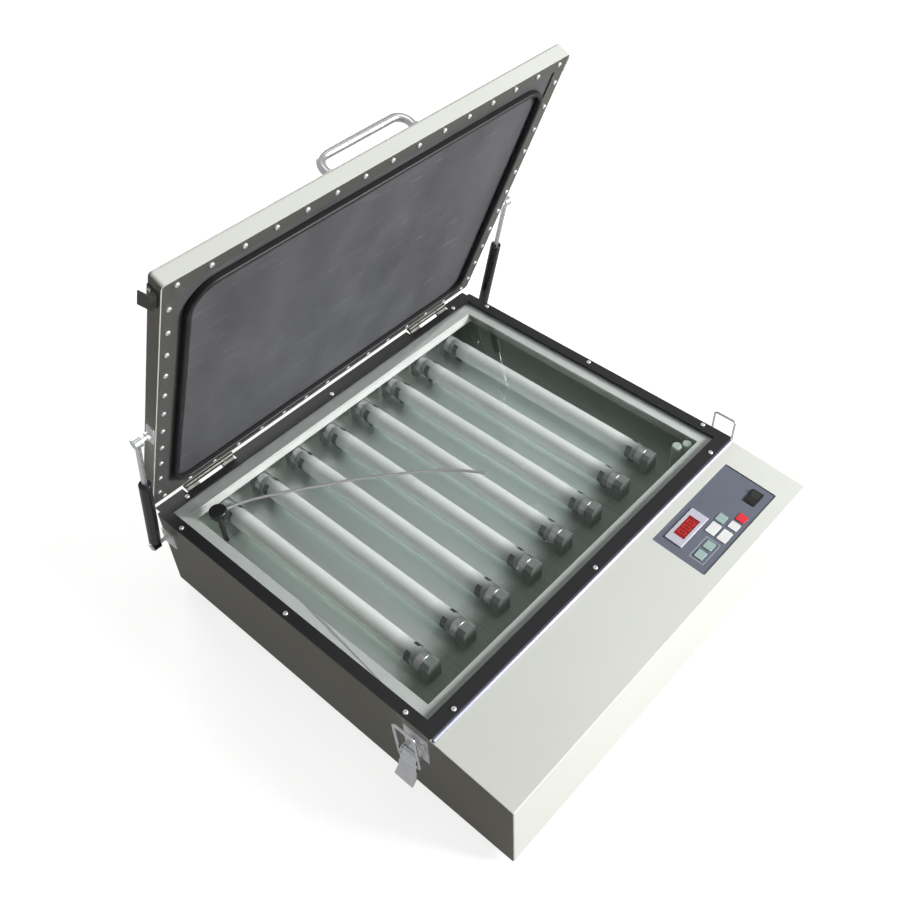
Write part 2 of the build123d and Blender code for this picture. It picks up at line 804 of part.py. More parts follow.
with BuildPart() as display_bezel:
    with BuildSketch(panel_plane):
        with Locations(bezel_at):
            RectangleRounded(*bezel_size, 1.5)
            Rectangle(
                window_size[0] + 2 * window_gap, window_size[1] + 2 * window_gap, mode=Mode.SUBTRACT
            )
    extrude(amount=bezel_rise)
    chamfer(display_bezel.edges().filter_by(lambda e: e.length > 60), length=0.8)
keep(display_bezel, "display_bezel")

with BuildPart() as display_window:
    with BuildSketch(panel_plane.offset(bezel_rise - window_sunk)):
        with Locations(bezel_at):
            Rectangle(*window_size)
    extrude(amount=-bezel_rise - panel_thickness)
keep(display_window, "display_window")

for name, (x, y, width, tall) in button_sizes.items():
    with BuildPart() as button:
        with BuildSketch(panel_plane.offset(button_rise)):
            with Locations((x, y)):
                RectangleRounded(width, tall, 1.5)
        extrude(amount=-button_rise - panel_thickness - fit_gap)
        fillet(button.faces().sort_by(deck_normal)[-1].edges(), radius=0.5)
        with BuildSketch(panel_plane.offset(-panel_thickness - fit_gap)):
            with Locations((x, y)):
                Rectangle(width + 2 * button_rim, tall + 2 * button_rim)
        extrude(amount=-button_flange)
    keep(button, name)

# Timer board under the buttons: a key switch under each of them.
board_size = (150, 62)
board_at = (-22, -19)
board_sheet = 1.6
board_post_radius = 2.5
board_post_inset = 4
key_size = 6
key_height = 4
board_depth = panel_thickness + fit_gap + button_flange + button_travel + key_height
with BuildPart() as timer_board:
    with BuildSketch(panel_plane.offset(-board_depth)):
        with Locations(board_at):
            Rectangle(*board_size)
    extrude(amount=-board_sheet)
    with BuildSketch(panel_plane.offset(-board_depth)):
        for x, y, width, tall in button_sizes.values():
            with Locations((x, y)):
                Rectangle(key_size, key_size)
    extrude(amount=key_height - fit_gap)
    with BuildSketch(panel_plane.offset(-board_depth)):
        with Locations(board_at):
            with GridLocations(
                board_size[0] - 2 * board_post_inset, board_size[1] - 2 * board_post_inset, 2, 2
            ):
                Circle(board_post_radius)
    extrude(amount=board_depth - panel_thickness)
keep(timer_board, "timer_board")

rocker_pivot = panel_plane.from_local_coords(
    Vector(rocker_at[0], rocker_at[1], rocker_frame_rise + fit_gap - rocker_face)
)
rocker_plane = Plane(origin=rocker_pivot, x_dir=(1, 0, 0), z_dir=-panel_plane.y_dir)
with BuildPart() as rocker_bezel:
    with BuildSketch(panel_plane):
        with Locations(rocker_at):
            RectangleRounded(*rocker_frame, 1.5)
    extrude(amount=rocker_frame_rise)
    with BuildSketch(panel_plane):
        with Locations(rocker_at):
            Rectangle(*rocker_body)
    extrude(amount=-rocker_depth)
    with BuildSketch(rocker_plane):
        Circle(rocker_radius + fit_gap)
    extrude(amount=rocker_size[1] / 2 + fit_gap, both=True, mode=Mode.SUBTRACT)
    with BuildSketch(rocker_plane):
        Circle(rocker_pin_radius + pin_gap)
    extrude(amount=rocker_size[1] / 2 + 4 * fit_gap, both=True, mode=Mode.SUBTRACT)
keep(rocker_bezel, "rocker_bezel")

# The rocker rests with its left half down, so its right half stands up by the swing.
rocker_turn = radians(rocker_swing)
with BuildPart() as power_rocker:
    with BuildSketch(rocker_plane):
        Circle(rocker_radius)
        with BuildLine():
            Polyline(
                (-rocker_face * tan(rocker_turn / 2), rocker_face),
                (
                    -rocker_face * tan(rocker_turn / 2) + rocker_size[0] * cos(rocker_turn),
                    rocker_face + rocker_size[0] * sin(rocker_turn),
                ),
                (rocker_size[0], rocker_size[0]),
                (-rocker_size[0], rocker_size[0]),
                (-rocker_size[0], rocker_face),
                close=True,
            )
        make_face(mode=Mode.SUBTRACT)
    extrude(amount=rocker_size[1] / 2, both=True)
    with BuildSketch(rocker_plane):
        Circle(rocker_pin_radius)
    extrude(amount=rocker_size[1] / 2 + 3 * fit_gap, both=True)
keep(power_rocker, "power_rocker")

# ---------------------------------------------------------------- hinges
end_knuckle = (hinge_length - knuckle_length) / 2 - knuckle_gap
end_knuckle_x = (hinge_length - end_knuckle) / 2
hinges_x = (-hinge_centre, hinge_centre)
axis_y = hinge_point.Y
axis_z = hinge_point.Z
web_reach = 0.84 * knuckle_radius
with BuildPart() as hinge_body_leaves:
    with BuildSketch(Plane.XZ.offset(-y_at(0))):
        with Locations(*[(x, z_at(body_leaf_bottom + leaf_height / 2)) for x in hinges_x]):
            Rectangle(hinge_length, leaf_height)
        with Locations(*[(x, z_at(hinge_screw_z)) for x in hinge_screws_x]):
            Circle(screw_radius + pin_gap, mode=Mode.SUBTRACT)
    extrude(amount=-leaf_thickness)
    for x in hinges_x:
        for side in (-1, 1):
            with BuildSketch(Plane.YZ.offset(x + side * end_knuckle_x)):
                with Locations((axis_y, axis_z)):
                    Circle(knuckle_radius)
                with BuildLine():
                    Polyline(
                        (y_at(0), axis_z - 2.6 * knuckle_radius),
                        (y_at(-leaf_thickness), axis_z - 2.6 * knuckle_radius),
                        (axis_y + web_reach, axis_z - knuckle_radius / 2),
                        (axis_y, axis_z),
                        (axis_y - web_reach, axis_z - knuckle_radius / 2),
                        (y_at(0), axis_z - hinge_rise - frame_thickness),
                        close=True,
                    )
                make_face()
                with Locations((axis_y, axis_z)):
                    Circle(hinge_pin_radius + pin_gap, mode=Mode.SUBTRACT)
            extrude(amount=end_knuckle / 2, both=True)
keep(hinge_body_leaves, "hinge_body_leaves")

pin_head_radius = 4
pin_head_length = 1.5
with BuildPart() as hinge_pins:
    for x in hinges_x:
        with BuildSketch(Plane.YZ.offset(x)):
            with Locations((axis_y, axis_z)):
                Circle(hinge_pin_radius)
        extrude(amount=hinge_length / 2, both=True)
        for side in (-1, 1):
            with BuildSketch(Plane.YZ.offset(x + side * hinge_length / 2)):
                with Locations((axis_y, axis_z)):
                    Circle(pin_head_radius)
            extrude(amount=side * pin_head_length)
keep(hinge_pins, "hinge_pins")

back_face = Plane(origin=(0, y_at(-leaf_thickness), 0), x_dir=(-1, 0, 0), z_dir=(0, 1, 0))
hinge_body_screws = pan_screws(
    [(back_face, [(x, z_at(hinge_screw_z)) for x in hinge_screws_x])],
    screw_head_radius,
    rivet_head_height,
    screw_radius,
    leaf_thickness + 2 * sheet,
)
keep(hinge_body_screws, "hinge_body_screws")

lid_leaf_low = 3
lid_leaf_height = 20
lid_leaf_screw = lid_leaf_low + lid_leaf_height / 2
with BuildPart() as hinge_lid_leaves:
    for x in hinges_x:
        with BuildSketch(lid_section(x)):
            with Locations((lid_rear - leaf_thickness / 2, lid_leaf_screw)):
                Rectangle(leaf_thickness, lid_leaf_height)
        extrude(amount=hinge_length / 2, both=True)
        with BuildSketch(lid_section(x)):
            Circle(knuckle_radius)
            with BuildLine():
                Polyline(
                    (lid_rear - leaf_thickness / 2, lid_leaf_low),
                    (lid_rear - leaf_thickness / 2, lid_leaf_low + knuckle_radius),
                    (0, knuckle_radius),
                    (0, 0),
                    (web_reach, lid_leaf_low),
                    close=True,
                )
            make_face()
            Circle(hinge_pin_radius + pin_gap, mode=Mode.SUBTRACT)
        extrude(amount=knuckle_length / 2, both=True)
    with BuildSketch(lid_back_face):
        with Locations(*[(x, lid_leaf_screw) for x in hinge_screws_x]):
            Circle(screw_radius + pin_gap)
    extrude(amount=-2 * leaf_thickness, mode=Mode.SUBTRACT)
keep(hinge_lid_leaves, "hinge_lid_leaves")

hinge_lid_screws = pan_screws(
    [(lid_back_face, [(x, lid_leaf_screw) for x in hinge_screws_x])],
    screw_head_radius,
    rivet_head_height,
    screw_radius,
    leaf_thickness + 2 * sheet,
)
keep(hinge_lid_screws, "hinge_lid_screws")

# ---------------------------------------------------------------- lid
lid_axis = Axis(hinge_point, lid_out)
lid_corner_radius = lid_edge_radius + 1
handle_along = lid_length - handle_from_edge
handle_half_span = handle_length / 2 - handle_bar_radius
handle_feet = [handle_centre_x - handle_half_span, handle_centre_x + handle_half_span]
handle_screw_radius = 2.5
catch_along = hinge_behind + latch_depth
catch_rivets_at = [(catch_along + ds, 16) for ds in (-7, 7)]
strut_bracket_half = 20
strut_plate_rivets_at = [(strut_lid_along + ds, strut_lid_out) for ds in (-14, 14)]
with BuildPart() as lid_shell:
    with BuildSketch(lid_level(0)):
        with Locations((0, -lid_middle)):
            RectangleRounded(body_width, lid_side_length, lid_corner_radius)
    extrude(amount=lid_depth)
    fillet(lid_shell.faces().sort_by(lid_axis)[-1].edges(), radius=lid_edge_radius)
    offset(amount=-sheet, openings=lid_shell.faces().sort_by(lid_axis)[0])
    with BuildSketch(lid_level(flange_bottom)):
        with Locations((0, -lid_middle)):
            RectangleRounded(
                body_width - sheet, lid_side_length - sheet, lid_corner_radius - sheet / 2
            )
            Rectangle(
                body_width - 2 * lid_flange_width,
                lid_side_length - 2 * lid_flange_width,
                mode=Mode.SUBTRACT,
            )
        with Locations(*clamp_screws_at):
            Circle(rivet_radius + pin_gap, mode=Mode.SUBTRACT)
    extrude(amount=sheet)
    with BuildSketch(lid_level(lid_skin_inside)):
        with Locations(*[(x, -handle_along) for x in handle_feet]):
            Circle(handle_screw_radius + pin_gap)
    extrude(amount=sheet, mode=Mode.SUBTRACT)
    with BuildSketch(lid_section(0)):
        with Locations(*catch_rivets_at, *strut_plate_rivets_at):
            Circle(rivet_radius + pin_gap)
    extrude(amount=half_width, both=True, mode=Mode.SUBTRACT)
    with BuildSketch(lid_back_face):
        with Locations(*[(x, lid_leaf_screw) for x in hinge_screws_x]):
            Circle(screw_radius + pin_gap)
    extrude(amount=-2 * leaf_thickness - sheet, mode=Mode.SUBTRACT)
keep(lid_shell, "lid_shell")

rim_width = 2 * (inner_half_width - fit_gap)
rim_length = lid_side_length - 2 * (sheet + fit_gap)
rim_corner = lid_corner_radius - sheet
with BuildPart() as clamp_frame:
    with BuildSketch(lid_level(0)):
        with Locations((0, -lid_middle)):
            RectangleRounded(rim_width, rim_length, rim_corner)
            Rectangle(
                body_width - 2 * clamp_width, lid_side_length - 2 * clamp_width, mode=Mode.SUBTRACT
            )
        with Locations(*clamp_screws_at):
            Circle(rivet_radius + pin_gap, mode=Mode.SUBTRACT)
    extrude(amount=clamp_thickness)
keep(clamp_frame, "clamp_frame")

with BuildPart() as rubber_blanket:
    with BuildSketch(lid_level(clamp_thickness)):
        with Locations((0, -lid_middle)):
            RectangleRounded(rim_width, rim_length, rim_corner)
        with Locations(*clamp_screws_at):
            Circle(rivet_radius + pin_gap, mode=Mode.SUBTRACT)
    extrude(amount=blanket_thickness)
keep(rubber_blanket, "rubber_blanket")

rim_face = Plane(origin=lid_point(0, 0, 0), x_dir=(1, 0, 0), z_dir=-lid_out)
clamp_screws = pan_screws(
    [(rim_face, [(x, -y) for x, y in clamp_screws_at])],
    screw_head_radius,
    screw_head_height,
    rivet_radius,
    flange_bottom + 2 * sheet,
)
keep(clamp_screws, "clamp_screws")

# Seal bead: a ring of soft rubber with wide corners at the free edge.
with BuildPart() as seal_bead:
    for inset, mode in ((0, Mode.ADD), (bead_width, Mode.SUBTRACT)):
        with BuildSketch(lid_level(clamp_thickness)) as bead_outline:
            with Locations((0, -bead_middle)):
                Rectangle(body_width - 2 * (bead_inset + inset), bead_length - 2 * inset)
            corners = bead_outline.vertices().group_by(Axis.Y)
            fillet(corners[0], radius=bead_front_radius - inset)
            fillet(corners[-1], radius=bead_back_radius - inset)
        extrude(amount=-bead_drop - clamp_thickness, mode=mode)
    fillet(seal_bead.faces().sort_by(lid_axis)[0].edges(), radius=0.3 * bead_width)
keep(seal_bead, "seal_bead")

handle_plane = Plane(
    origin=lid_point(handle_centre_x, handle_along, lid_depth), x_dir=(1, 0, 0), z_dir=lid_up
)
handle_bar_height = handle_height - handle_bar_radius
handle_foot_height = 5
with BuildPart() as lid_handle:
    with BuildLine(handle_plane):
        handle_line = FilletPolyline(
            (-handle_half_span, 0),
            (-handle_half_span, handle_bar_height),
            (handle_half_span, handle_bar_height),
            (handle_half_span, 0),
            radius=handle_bend,
        )
    with BuildSketch(Plane(origin=handle_line @ 0, z_dir=handle_line % 0)):
        Circle(handle_bar_radius)
    sweep()
    with BuildSketch(lid_level(lid_depth)):
        with Locations(*[(x, -handle_along) for x in handle_feet]):
            Circle(handle_foot_radius)
    extrude(amount=handle_foot_height, taper=25)
    with BuildSketch(lid_level(lid_depth)):
        with Locations(*[(x, -handle_along) for x in handle_feet]):
            Circle(handle_screw_radius + pin_gap)
    extrude(amount=2 * handle_foot_height + fit_gap, mode=Mode.SUBTRACT)
keep(lid_handle, "lid_handle")

skin_inside = Plane(origin=lid_point(0, 0, lid_skin_inside), x_dir=(1, 0, 0), z_dir=-lid_out)
handle_screws = pan_screws(
    [(skin_inside, [(x, handle_along) for x in handle_feet])],
    screw_head_radius + 1,
    screw_head_height,
    handle_screw_radius,
    sheet + 2 * handle_foot_height,
)
keep(handle_screws, "handle_screws")

# ---------------------------------------------------------------- catches and latches
bail_seat_out = 6          # the engaged bail's bar, out from the lid's side
bail_seat_rise = 8         # and up from its rim
bail_rise = body_height + hinge_rise + bail_seat_rise - latch_pivot_height + bail_drop
bail_pivot_from_wall = latch_pivot_out + bail_pivot_out
bail_shut_lean = atan2(bail_pivot_from_wall - bail_seat_out, bail_rise)
bail_reach = hypot(bail_pivot_from_wall - bail_seat_out, bail_rise)
bail_rest_lean = radians(3)
latch_open = radians(latch_open_angle)
catch_floor = bail_seat_rise - latch_wire_radius - fit_gap - catch_sheet
catch_tip_out = 14.5
catch_tip_rise = 20
with BuildPart() as catch_plates:
    for side in (-1, 1):
        with BuildSketch(
            Plane(
                origin=lid_point(side * half_width, catch_along, 0),
                x_dir=(side, 0, 0),
                z_dir=lid_up * side,
            )
        ):
            with BuildLine():
                Polyline(
                    (catch_sheet / 2, lid_depth - lid_edge_radius + catch_sheet),
                    (catch_sheet / 2, catch_floor),
                    (bail_seat_out + latch_wire_radius + fit_gap, catch_floor),
                    (catch_tip_out, catch_tip_rise),
                )
            trace(line_width=catch_sheet)
        extrude(amount=catch_width / 2, both=True)
    with BuildSketch(lid_section(0)):
        with Locations(*catch_rivets_at):
            Circle(rivet_radius + pin_gap)
    extrude(amount=half_width + 2 * catch_sheet, both=True, mode=Mode.SUBTRACT)
keep(catch_plates, "catch_plates")


def latch_plane(side, out, up, lean):
    """Across a latch: local X out from the cabinet's side, local Y up, leaning outwards."""
    return Plane(
        origin=(side * (half_width + out), latch_y, z_at(latch_pivot_height + up)),
        x_dir=(side * cos(lean), 0, -sin(lean)),
        z_dir=(0, -side, 0),
    )


ear_radius = 7
ear_inside = 13.5
ear_sheet = 1.5
base_below = 18
base_above = 38
with BuildPart() as latch_bases:
    for side in (-1, 1):
        with BuildSketch(latch_plane(side, 0, 0, 0)):
            with Locations((ear_sheet / 2, (base_above - base_below) / 2)):
                Rectangle(ear_sheet, base_above + base_below)
        extrude(amount=latch_plate_width / 2, both=True)
        for ear in (-1, 1):
            with BuildSketch(latch_plane(side, 0, 0, 0).offset(ear * (ear_inside + ear_sheet / 2))):
                with Locations((latch_pivot_out, 0)):
                    Circle(ear_radius)
                with Locations((latch_pivot_out / 2, 0)):
                    Rectangle(latch_pivot_out, 2 * ear_radius)
            extrude(amount=ear_sheet / 2, both=True)
        with BuildSketch(latch_plane(side, latch_pivot_out, 0, 0)):
            Circle(latch_wire_radius)
        extrude(amount=ear_inside + 2 * ear_sheet, both=True)
    with BuildSketch(Plane.YZ):
        with Locations(*latch_rivets_at):
            Circle(rivet_radius + pin_gap)
    extrude(amount=half_width + 2 * ear_sheet, both=True, mode=Mode.SUBTRACT)
keep(latch_bases, "latch_bases")

barrel_radius = 4
lever_face = 3             # middle of the lever's sheet, out from its pivot
lever_curl = 6
lever_curl_length = 12
lever_half_width = latch_half_width - latch_wire_radius - 0.5
bail_pin_overlap = 4
for side, name in ((-1, "left"), (1, "right")):
    with BuildPart() as lever:
        hang = latch_plane(side, latch_pivot_out, 0, -latch_open)
        with BuildSketch(hang):
            Circle(barrel_radius)
            with Locations((lever_face, -bail_drop / 2)):
                Rectangle(lever_sheet, bail_drop + 2 * barrel_radius)
        extrude(amount=ear_inside - fit_gap, both=True)
        with BuildSketch(hang):
            with Locations((bail_pivot_out, -bail_drop)):
                Circle(barrel_radius)
            with BuildLine():
                Polyline(
                    (lever_face, -bail_drop + 1),
                    (lever_face, lever_curl_length - lever_reach),
                    (lever_face + lever_curl, -lever_reach),
                )
            trace(line_width=lever_sheet)
        extrude(amount=latch_half_width - bail_pin_overlap, both=True)
        with BuildSketch(hang):
            with BuildLine():
                Polyline(
                    (lever_face, -bail_drop - 2 * barrel_radius),
                    (lever_face, lever_curl_length - lever_reach),
                    (lever_face + lever_curl, -lever_reach),
                )
            trace(line_width=lever_sheet)
        extrude(amount=lever_half_width, both=True)
        with BuildSketch(hang):
            Circle(latch_wire_radius + pin_gap)
            with Locations((bail_pivot_out, -bail_drop)):
                Circle(latch_wire_radius + pin_gap)
        extrude(amount=latch_plate_width, both=True, mode=Mode.SUBTRACT)
    keep(lever, f"latch_lever_{name}")

    bail_foot = hang.from_local_coords(Vector(bail_pivot_out, -bail_drop, 0))
    bail_up = Vector(side * sin(bail_rest_lean), 0, cos(bail_rest_lean))
    across = Vector(0, latch_half_width, 0)
    bail_stub = Vector(0, 2 * bail_pin_overlap, 0)
    with BuildPart() as bail:
        with BuildLine():
            bail_line = FilletPolyline(
                bail_foot + across - bail_stub,
                bail_foot + across,
                bail_foot + across + bail_up * bail_reach,
                bail_foot - across + bail_up * bail_reach,
                bail_foot - across,
                bail_foot - across + bail_stub,
                radius=bail_pin_overlap,
            )
        with BuildSketch(Plane(origin=bail_line @ 0, z_dir=bail_line % 0)):
            Circle(latch_wire_radius)
        sweep()
    keep(bail, f"latch_bail_{name}")

# ---------------------------------------------------------------- lid struts
strut_x = half_width + strut_offset
strut_base = Vector(0, strut_base_y, strut_base_z)
strut_top = lid_point(0, strut_lid_along, strut_lid_out)
strut_up = (strut_top - strut_base).normalized()
strut_length = (strut_top - strut_base).length
shut_top = hinge_point + Vector(0, -strut_lid_along, strut_lid_out)
strut_shut_length = (shut_top - strut_base).length
strut_lean = degrees(atan2(-strut_up.Y, strut_up.Z))
shut_up = shut_top - strut_base
strut_swing = degrees(atan2(-shut_up.Y, shut_up.Z)) - strut_lean
piston_start = strut_start + strut_tube_length - strut_wall - piston_length - 4 * fit_gap
strut_eye = 6
lid_pin_end = strut_offset - strut_eye + 1 - fit_gap


def strut_plane(side, along):
    """Square across a strut, that far up from its lower ball."""
    middle = Vector(side * strut_x, 0, 0) + strut_base + strut_up * along
    return Plane(origin=middle, x_dir=(1, 0, 0), z_dir=strut_up)


with BuildPart() as strut_base_brackets:
    for side in (-1, 1):
        with BuildSketch(Plane.YZ.offset(side * half_width)):
            with Locations((y_at(bracket_half + fit_gap), strut_base_z)):
                Rectangle(2 * bracket_half, 2 * bracket_half)
            with Locations(*strut_rivets_at):
                Circle(rivet_radius + pin_gap, mode=Mode.SUBTRACT)
        extrude(amount=side * bracket_sheet)
        with BuildSketch(Plane.YZ.offset(side * half_width)):
            with Locations((strut_base_y, strut_base_z)):
                Circle(stud_radius)
        extrude(amount=side * (strut_offset + strut_eye + fit_gap))
        with BuildSketch(Plane.YZ.offset(side * (strut_x + strut_eye + fit_gap))):
            with Locations((strut_base_y, strut_base_z)):
                Circle(stud_radius + 2)
        extrude(amount=side * bracket_sheet)
keep(strut_base_brackets, "strut_base_brackets")

with BuildPart() as strut_lid_brackets:
    for side in (-1, 1):
        with BuildSketch(lid_section(side * half_width)):
            with Locations((strut_lid_along, strut_lid_out)):
                RectangleRounded(2 * strut_bracket_half, 2 * (strut_lid_out - 1), 3)
            with Locations(*strut_plate_rivets_at):
                Circle(rivet_radius + pin_gap, mode=Mode.SUBTRACT)
        extrude(amount=-side * bracket_sheet)
        with BuildSketch(lid_section(side * half_width)):
            with Locations((strut_lid_along, strut_lid_out)):
                Circle(stud_radius + 2)
        extrude(amount=-side * lid_pin_end / 2)
        with BuildSketch(lid_section(side * half_width)):
            with Locations((strut_lid_along, strut_lid_out)):
                Circle(stud_radius)
        extrude(amount=-side * lid_pin_end)
keep(strut_lid_brackets, "strut_lid_brackets")

for side, name in ((-1, "left"), (1, "right")):
    with BuildPart() as cylinder:
        with BuildSketch(strut_plane(side, 0)):
            Circle(0.7 * strut_eye)
        extrude(amount=strut_start)
        with BuildSketch(strut_plane(side, strut_start)):
            Circle(strut_radius)
        extrude(amount=strut_tube_length)
        tube_rims = cylinder.edges().filter_by(GeomType.CIRCLE).group_by(SortBy.LENGTH)[-1]
        fillet(tube_rims, radius=1.5)
        with BuildSketch(strut_plane(side, strut_start + strut_wall)):
            Circle(strut_bore)
        extrude(amount=strut_tube_length - 2 * strut_wall, mode=Mode.SUBTRACT)
        with BuildSketch(strut_plane(side, strut_start + strut_tube_length)):
            Circle(strut_rod_radius + pin_gap)
        extrude(amount=-2 * strut_wall, mode=Mode.SUBTRACT)
        with BuildSketch(Plane.YZ.offset(side * strut_x)):
            with Locations((strut_base_y, strut_base_z)):
                Circle(ball_radius)
        extrude(amount=strut_eye, both=True)
        with BuildSketch(Plane.YZ.offset(side * strut_x)):
            with Locations((strut_base_y, strut_base_z)):
                Circle(stud_radius + pin_gap)
        extrude(amount=2 * strut_eye, both=True, mode=Mode.SUBTRACT)
    keep(cylinder, f"strut_cylinder_{name}")

    with BuildPart() as rod:
        with BuildSketch(strut_plane(side, piston_start)):
            Circle(strut_bore - pin_gap)
        extrude(amount=piston_length)
        with BuildSketch(strut_plane(side, piston_start)):
            Circle(strut_rod_radius)
        extrude(amount=strut_length - piston_start)
        with BuildSketch(Plane.YZ.offset(side * (strut_x - strut_eye + 1))):
            with Locations((strut_top.Y, strut_top.Z)):
                Circle(ball_radius)
        extrude(amount=side * (2 * strut_eye - 1))
    keep(rod, f"strut_rod_{name}")

# Rivets of the strut brackets, the latches and the catches, in two groups: on the cabinet
# and on the lid.
cabinet_rivet_places = []
lid_rivet_places = []
for side in (-1, 1):
    facing = Plane(origin=(side * half_width, 0, 0), x_dir=(0, side, 0), z_dir=(side, 0, 0))
    cabinet_rivet_places.append(
        (facing.offset(bracket_sheet), [(side * y, z) for y, z in strut_rivets_at])
    )
    cabinet_rivet_places.append(
        (facing.offset(ear_sheet), [(side * y, z) for y, z in latch_rivets_at])
    )
    lid_facing = Plane(
        origin=lid_point(side * half_width, 0, 0), x_dir=lid_up * -side, z_dir=(side, 0, 0)
    )
    lid_rivet_places.append(
        (lid_facing.offset(bracket_sheet), [(-side * s, t) for s, t in strut_plate_rivets_at])
    )
    lid_rivet_places.append(
        (lid_facing.offset(catch_sheet), [(-side * s, t) for s, t in catch_rivets_at])
    )
side_rivets = pan_screws(
    cabinet_rivet_places, rivet_head_radius, rivet_head_height, rivet_radius, 3 * sheet
)
keep(side_rivets, "side_rivets")
lid_rivets = pan_screws(
    lid_rivet_places, rivet_head_radius, rivet_head_height, rivet_radius, 3 * sheet
)
keep(lid_rivets, "lid_rivets")

bail_swing = latch_open + bail_rest_lean + bail_shut_lean


def told(vector):
    """A vector as three rounded numbers."""
    return [round(value, 5) for value in vector]


print("hinge", told(hinge_point), "body back", round(body_back, 3))
print("strut base", told(strut_base), "top", told(strut_top), "direction", told(strut_up))
print("strut length", round(strut_length, 3), "shut", round(strut_shut_length, 3))
print("strut swing", round(strut_swing, 4))
print("lever pivot", told(latch_plane(1, latch_pivot_out, 0, 0).origin))
print("bail pivot", told(bail_foot), "swing over lever", round(bail_swing / latch_open, 5))
print("deck normal", told(deck_plane.z_dir), "rocker pivot", told(rocker_pivot))
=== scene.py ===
# %% [markdown]
# # A vacuum exposure unit for screen printing
# The real object is a steel light box with a glass top, a sloping control deck in front of it
# and a lid with a rubber blanket that two gas struts hold open. The rigid pieces come from a
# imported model; this lesson adds the camera, the light, the soft pieces and every finish.

# %% Load the rigid pieces
import math

import bmesh
import bpy
from mathutils import Matrix, Vector


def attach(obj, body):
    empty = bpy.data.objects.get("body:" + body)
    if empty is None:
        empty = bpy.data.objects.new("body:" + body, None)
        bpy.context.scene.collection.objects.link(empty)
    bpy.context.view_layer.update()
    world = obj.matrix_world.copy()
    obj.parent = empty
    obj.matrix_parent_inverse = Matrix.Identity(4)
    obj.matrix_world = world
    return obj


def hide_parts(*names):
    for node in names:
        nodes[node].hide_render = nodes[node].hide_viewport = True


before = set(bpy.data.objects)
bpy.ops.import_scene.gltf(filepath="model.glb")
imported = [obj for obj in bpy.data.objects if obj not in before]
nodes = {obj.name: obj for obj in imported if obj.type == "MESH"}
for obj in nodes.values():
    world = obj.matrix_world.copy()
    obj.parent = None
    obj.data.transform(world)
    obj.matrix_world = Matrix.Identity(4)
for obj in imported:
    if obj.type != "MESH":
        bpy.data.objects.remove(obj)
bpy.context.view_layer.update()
print("rigid pieces:", len(nodes))


# %% [markdown]
# ## Camera
# The camera stands at the front left and looks down on the glass. Its place and focal length
# were worked out from straight edges whose sizes are known, so the render can be laid over a
# photograph. Its matrix holds the picture's own directions, right, up and towards the viewer,
# and the place of the lens. A small shift keeps the object where it stands in that frame.

# %% Camera
def axes_at(origin, right, up, towards):
    """The matrix that lays a drawing's right, up and towards axes in the model."""
    return Matrix([*zip(right, up, towards, origin), (0, 0, 0, 1)])


camera_data = bpy.data.cameras.new("front left camera")
camera_data.sensor_width = 36
camera_data.lens = 43.2986
camera_data.shift_x = -0.06667
camera_data.shift_y = -0.03753
camera = bpy.data.objects.new("front left camera", camera_data)
camera.matrix_world = axes_at(
    origin=(-0.79528, -0.75935, 1.42113),
    right=(0.653831, -0.756612, -0.006595),
    up=(0.536284, 0.457250, 0.709452),
    towards=(-0.533764, -0.467398, 0.704723),
)
bpy.context.collection.objects.link(camera)
bpy.context.scene.camera = camera
bpy.context.scene.view_settings.view_transform = "Standard"
print("camera height:", round(camera.location.z, 3), "m")


# %% [markdown]
# ## Shader maths as plain expressions
# A finish is easier to read when its sums look like sums. `Wire` holds a socket and turns the
# usual operators into Math nodes. `Finish` holds one material and has a single method that
# makes any other node: its settings first, then the values or wires of its inputs. Colours
# are written as they look on a screen and turned into light by `paint_colour`.

# %% Wires and finishes
class Wire:
    """A socket on which ordinary arithmetic works."""

    def __init__(self, finish, socket):
        self.finish = finish
        self.socket = socket

    def maths(self, operation, first, second=0.0, clamp=False):
        settings = {"operation": operation, "use_clamp": clamp}
        return self.finish.node("ShaderNodeMath", settings, (first, second))

    def output(self, name):
        """Another output of the same node."""
        return Wire(self.finish, self.socket.node.outputs[name])

    def __add__(self, other):
        return self.maths("ADD", self, other)

    def __radd__(self, other):
        return self.maths("ADD", other, self)

    def __sub__(self, other):
        return self.maths("SUBTRACT", self, other)

    def __rsub__(self, other):
        return self.maths("SUBTRACT", other, self)

    def __mul__(self, other):
        return self.maths("MULTIPLY", self, other)

    def __rmul__(self, other):
        return self.maths("MULTIPLY", other, self)

    def __lt__(self, other):
        return self.maths("LESS_THAN", self, other)

    def __gt__(self, other):
        return self.maths("GREATER_THAN", self, other)

    def __abs__(self):
        return self.maths("ABSOLUTE", self)

    def clamped(self):
        """The same value, kept between 0 and 1."""
        return self.maths("ADD", self, 0.0, clamp=True)

    def rising(self, start, slope):
        """0 up to start, then a climb with this slope that ends at 1."""
        return ((self - start) * slope).clamped()


